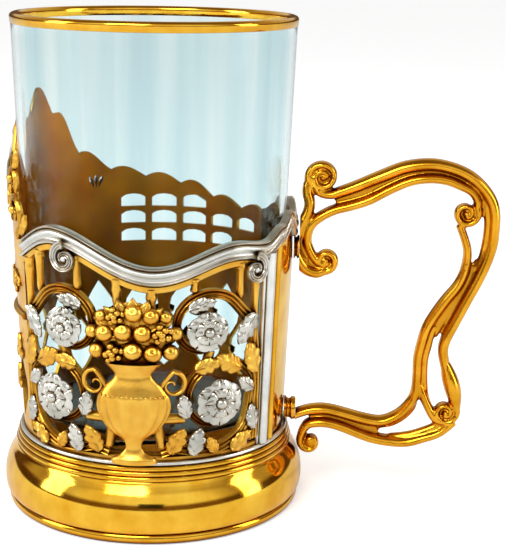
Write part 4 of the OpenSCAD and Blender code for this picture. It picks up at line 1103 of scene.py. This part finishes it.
# %% [markdown]
# A narrow silver edging carries the border on round the back, under the lobes. It is drawn like
# the border, as an upright section swept along the crest's line, and is plainer, because it is
# only a strip soldered on.

# %% Silver edging under the lobes
EDGING = [(0, 0), (0, 0.35), (-0.12, 0.72), (-0.3, 0.86), (-0.42, 0.7), (-0.58, 0.7), (-0.7, 0.86),
          (-0.88, 0.72), (-1, 0.35), (-1, 0)]
edging_t = BORDER_T * 0.9 - WALL_T
edging_path = round_path(BACK_A, SIDE_A - SIDE_SPAN_A, 1, crest_line, BORDER_H / 2, edging_t)
edging_bm = sweep(edging_path, hung(EDGING), WALL_T + 0.06, upright=True)
wrap(edging_bm, 0)
finish_piece("edging_at_back", edging_bm, polished_silver, ["border_back"], sharp=50)

# %% [markdown]
# Where the crest comes down to the border, two gold scrolls with leaves climb its edge. They are
# cast like the stems of the relief, so they are made with the same fluted spiral sweep.

# %% Gold scrolls that climb the side of the crest
FINIAL_W, FINIAL_H, FINIAL_BOSS_R = 0.9, 1.1, 1.1
finial_up = wave_top(SIDE_A) + FIT
# Leaves as (x, z, direction in degrees, length)
FINIAL_LEAVES = ((4.5, finial_up + 2, 60, 6), (-2, finial_up + CREST_RISE * 0.28, 110, 5),
                 (3, finial_up + CREST_RISE * 0.5, 75, 5))
finial_bm = bmesh.new()
lower_curl = spiral(1, finial_up + CREST_RISE * 0.2, CREST_RISE * 0.12, 0, 420, FINIAL_W, FINIAL_H)
upper_curl = spiral(1, finial_up + CREST_RISE * 0.43, CREST_RISE * 0.085, -60, 420, FINIAL_W, FINIAL_H)
stalk = [(2, finial_up + 1, FINIAL_W, FINIAL_H), (5, finial_up + 4, FINIAL_W, FINIAL_H)]
for path in (stalk + lower_curl, upper_curl):
    part = sweep(path, FLUTED, WALL_T + FIT)
    add_ball(part, (path[-1][0], -WALL_T - 0.9, path[-1][1]), FINIAL_BOSS_R, 16, 10)
    join_into(finial_bm, part)
for x, z, angle, long in FINIAL_LEAVES:
    join_into(finial_bm, leaf(x, z, angle, long, long * 0.6, WALL_T + 0.05, 1.0, 3, (14, 6)))
wrap(finial_bm, SIDE_A)
finish_piece("side_scrolls", finial_bm, satin_gold, ["side_finial"], sharp=60)

# %% [markdown]
# ## The floor
# Pale paper lies under the holder and reaches past the horizon. A white plane under strong
# lamps would do, but it would also light the metal from below, so the paper glows a little for
# the camera and for rays through the glass only, and keeps the holder's soft shadow.

# %% Pale paper floor
FLOOR_HALF, FLOOR_GLOW, FLOOR_DROP = 12, 0.4, 0.0001


def flat_sheet(name, material, half_size, cells):
    bm = bmesh.new()
    bmesh.ops.create_grid(bm, x_segments=cells, y_segments=cells, size=half_size)
    mesh = bpy.data.meshes.new(name)
    bm.to_mesh(mesh)
    bm.free()
    mesh.materials.append(material)
    sheet = bpy.data.objects.new(name, mesh)
    bpy.context.scene.collection.objects.link(sheet)
    return sheet


def seen_rays(tree):
    rays = add_node(tree, "ShaderNodeLightPath", {}).outputs
    seen = add_node(tree, "ShaderNodeMath", {0: rays["Is Camera Ray"], 1: rays["Is Transmission Ray"]})
    return seen.outputs[0], rays["Is Glossy Ray"]


paper, paper_tree, paper_shader = new_material("pale_paper_floor", {
    "Base Color": "#F4F4F4", "Roughness": 0.9, "Specular IOR Level": 0.1, "Emission Color": "#FFFFFF"})
paper_glow = add_node(paper_tree, "ShaderNodeMath", {0: seen_rays(paper_tree)[0], 1: FLOOR_GLOW},
                      operation="MULTIPLY")
set_inputs(paper_shader, {"Emission Strength": paper_glow.outputs[0]})
floor = flat_sheet("floor", paper, FLOOR_HALF, 2)
floor.location.z = -FLOOR_DROP
print("floor:", 2 * FLOOR_HALF, "m wide")

# %% [markdown]
# ## The studio that the metal mirrors
# Polished metal shows the room more than itself. A photographer of silver stands it in a white
# tent with dark gaps, which give gold its browns. A real tent would need many cards, so the
# world does its work: the camera and the glass see plain white, and mirror rays see bands, from
# the floor up, times a white front and warm grey sides.

# %% World with a banded studio in its reflections
world = bpy.data.worlds.new("studio")
bpy.context.scene.world = world
world.use_nodes = True
sky = world.node_tree
seen, glossy = seen_rays(sky)
seen_all = add_node(sky, "ShaderNodeMath", {0: seen, 1: glossy}, use_clamp=True)
strength = add_node(sky, "ShaderNodeMapRange", {"Value": seen_all.outputs[0], "To Min": 0.6, "To Max": 1.0})
towards = add_node(sky, "ShaderNodeTexCoord", {}).outputs["Generated"]
direction = add_node(sky, "ShaderNodeSeparateXYZ", {0: towards}).outputs
upwards = add_node(sky, "ShaderNodeMapRange", {"Value": direction["Z"], "From Min": -0.2, "From Max": 1.0})
backwards = add_node(sky, "ShaderNodeMapRange", {"Value": direction["Y"], "From Min": -1.0, "From Max": 1.0})
tent = add_node(sky, "ShaderNodeValToRGB", {"Fac": upwards.outputs["Result"]},
                [(0.0, "#D8D0C4"), (0.13, "#6E5034"), (0.31, "#7E6040"), (0.39, "#FFFFFF"), (0.66, "#FFFFFF"),
                 (0.8, "#C4BAAC"), (1.0, "#B0A8A0")])
sides = add_node(sky, "ShaderNodeValToRGB", {"Fac": backwards.outputs["Result"]},
                 [(0.0, "#FFFFFF"), (0.2, "#FFFFFF"), (0.36, "#A08E74"), (0.6, "#B0A088"), (1.0, "#E0DED8")])
studio = add_node(sky, "ShaderNodeMix", {"Factor": 1.0, MIX_A: tent.outputs["Color"],
                                         MIX_B: sides.outputs["Color"]}, data_type="RGBA", blend_type="MULTIPLY")
mirrored = add_node(sky, "ShaderNodeMix", {"Factor": glossy, MIX_A: "#FFFFFF", MIX_B: studio.outputs[MIX_OUT]},
                    data_type="RGBA")
set_inputs(sky.nodes["Background"], {"Color": mirrored.outputs[MIX_OUT],
                                     "Strength": strength.outputs["Result"]})
print("studio bands:", len(tent.color_ramp.elements), "sides:", len(sides.color_ramp.elements))

# %% [markdown]
# ## Lamps and the camera's card
# Three large lamps, as soft as window light, give the metal its highlights and the holder its
# soft shadow. The camera itself shows in a polished foot as a small dark shape, so a black card
# stands beside it that only mirror rays see.

# %% Lamps and card
LAMPS = (("front_softbox", (-0.25, -0.75, 0.75), (0.5, 0.35), 5),
         ("left_softbox", (-0.8, -0.2, 0.35), (0.3, 0.6), 3),
         ("right_softbox", (0.85, -0.1, 0.3), (0.25, 0.6), 2.5))
CARD_SPOT, CARD_SIZE = (0.04, -0.62, 0.13), (0.2, 0.12)


def aim(thing, spot, target, axis):
    thing.location = spot
    thing.rotation_euler = (Vector(target) - Vector(spot)).to_track_quat(axis, "Y").to_euler()


for name, spot, size, power in LAMPS:
    data = bpy.data.lights.new(name, "AREA")
    data.shape, data.size, data.size_y, data.energy = "RECTANGLE", size[0], size[1], power
    lamp = bpy.data.objects.new(name, data)
    aim(lamp, spot, (0.01, 0, 0.06), "-Z")
    bpy.context.scene.collection.objects.link(lamp)

# Black card: matt and nearly black, as flocked paper is
black_card = new_material("black_card", {"Base Color": "#15110E", "Roughness": 0.95})[0]
card = flat_sheet("camera_card", black_card, 0.5, 1)
card.scale = (CARD_SIZE[0], CARD_SIZE[1], 1)
aim(card, CARD_SPOT, (0, 0, 0.06), "Z")
card.visible_camera = card.visible_diffuse = card.visible_shadow = card.visible_transmission = False
print("lamps:", len(LAMPS), "card:", card.name)

# %% [markdown]
# ## CAD nodes that stay
# The floor plate is a plain disc and the back wall plain sheet with openings, so both are right
# as the CAD model has them. Only their materials change: dull gold under the glass, and the
# two-sided metal on the wall, which would otherwise be as bright inside as outside.

# %% Materials of the kept nodes
KEPT = {"floor_plate": dull_gold, "wall_back": wall_gold}
for node_name, material in KEPT.items():
    for material_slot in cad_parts[node_name].material_slots:
        material_slot.material = material
print("kept CAD nodes:", len(KEPT))
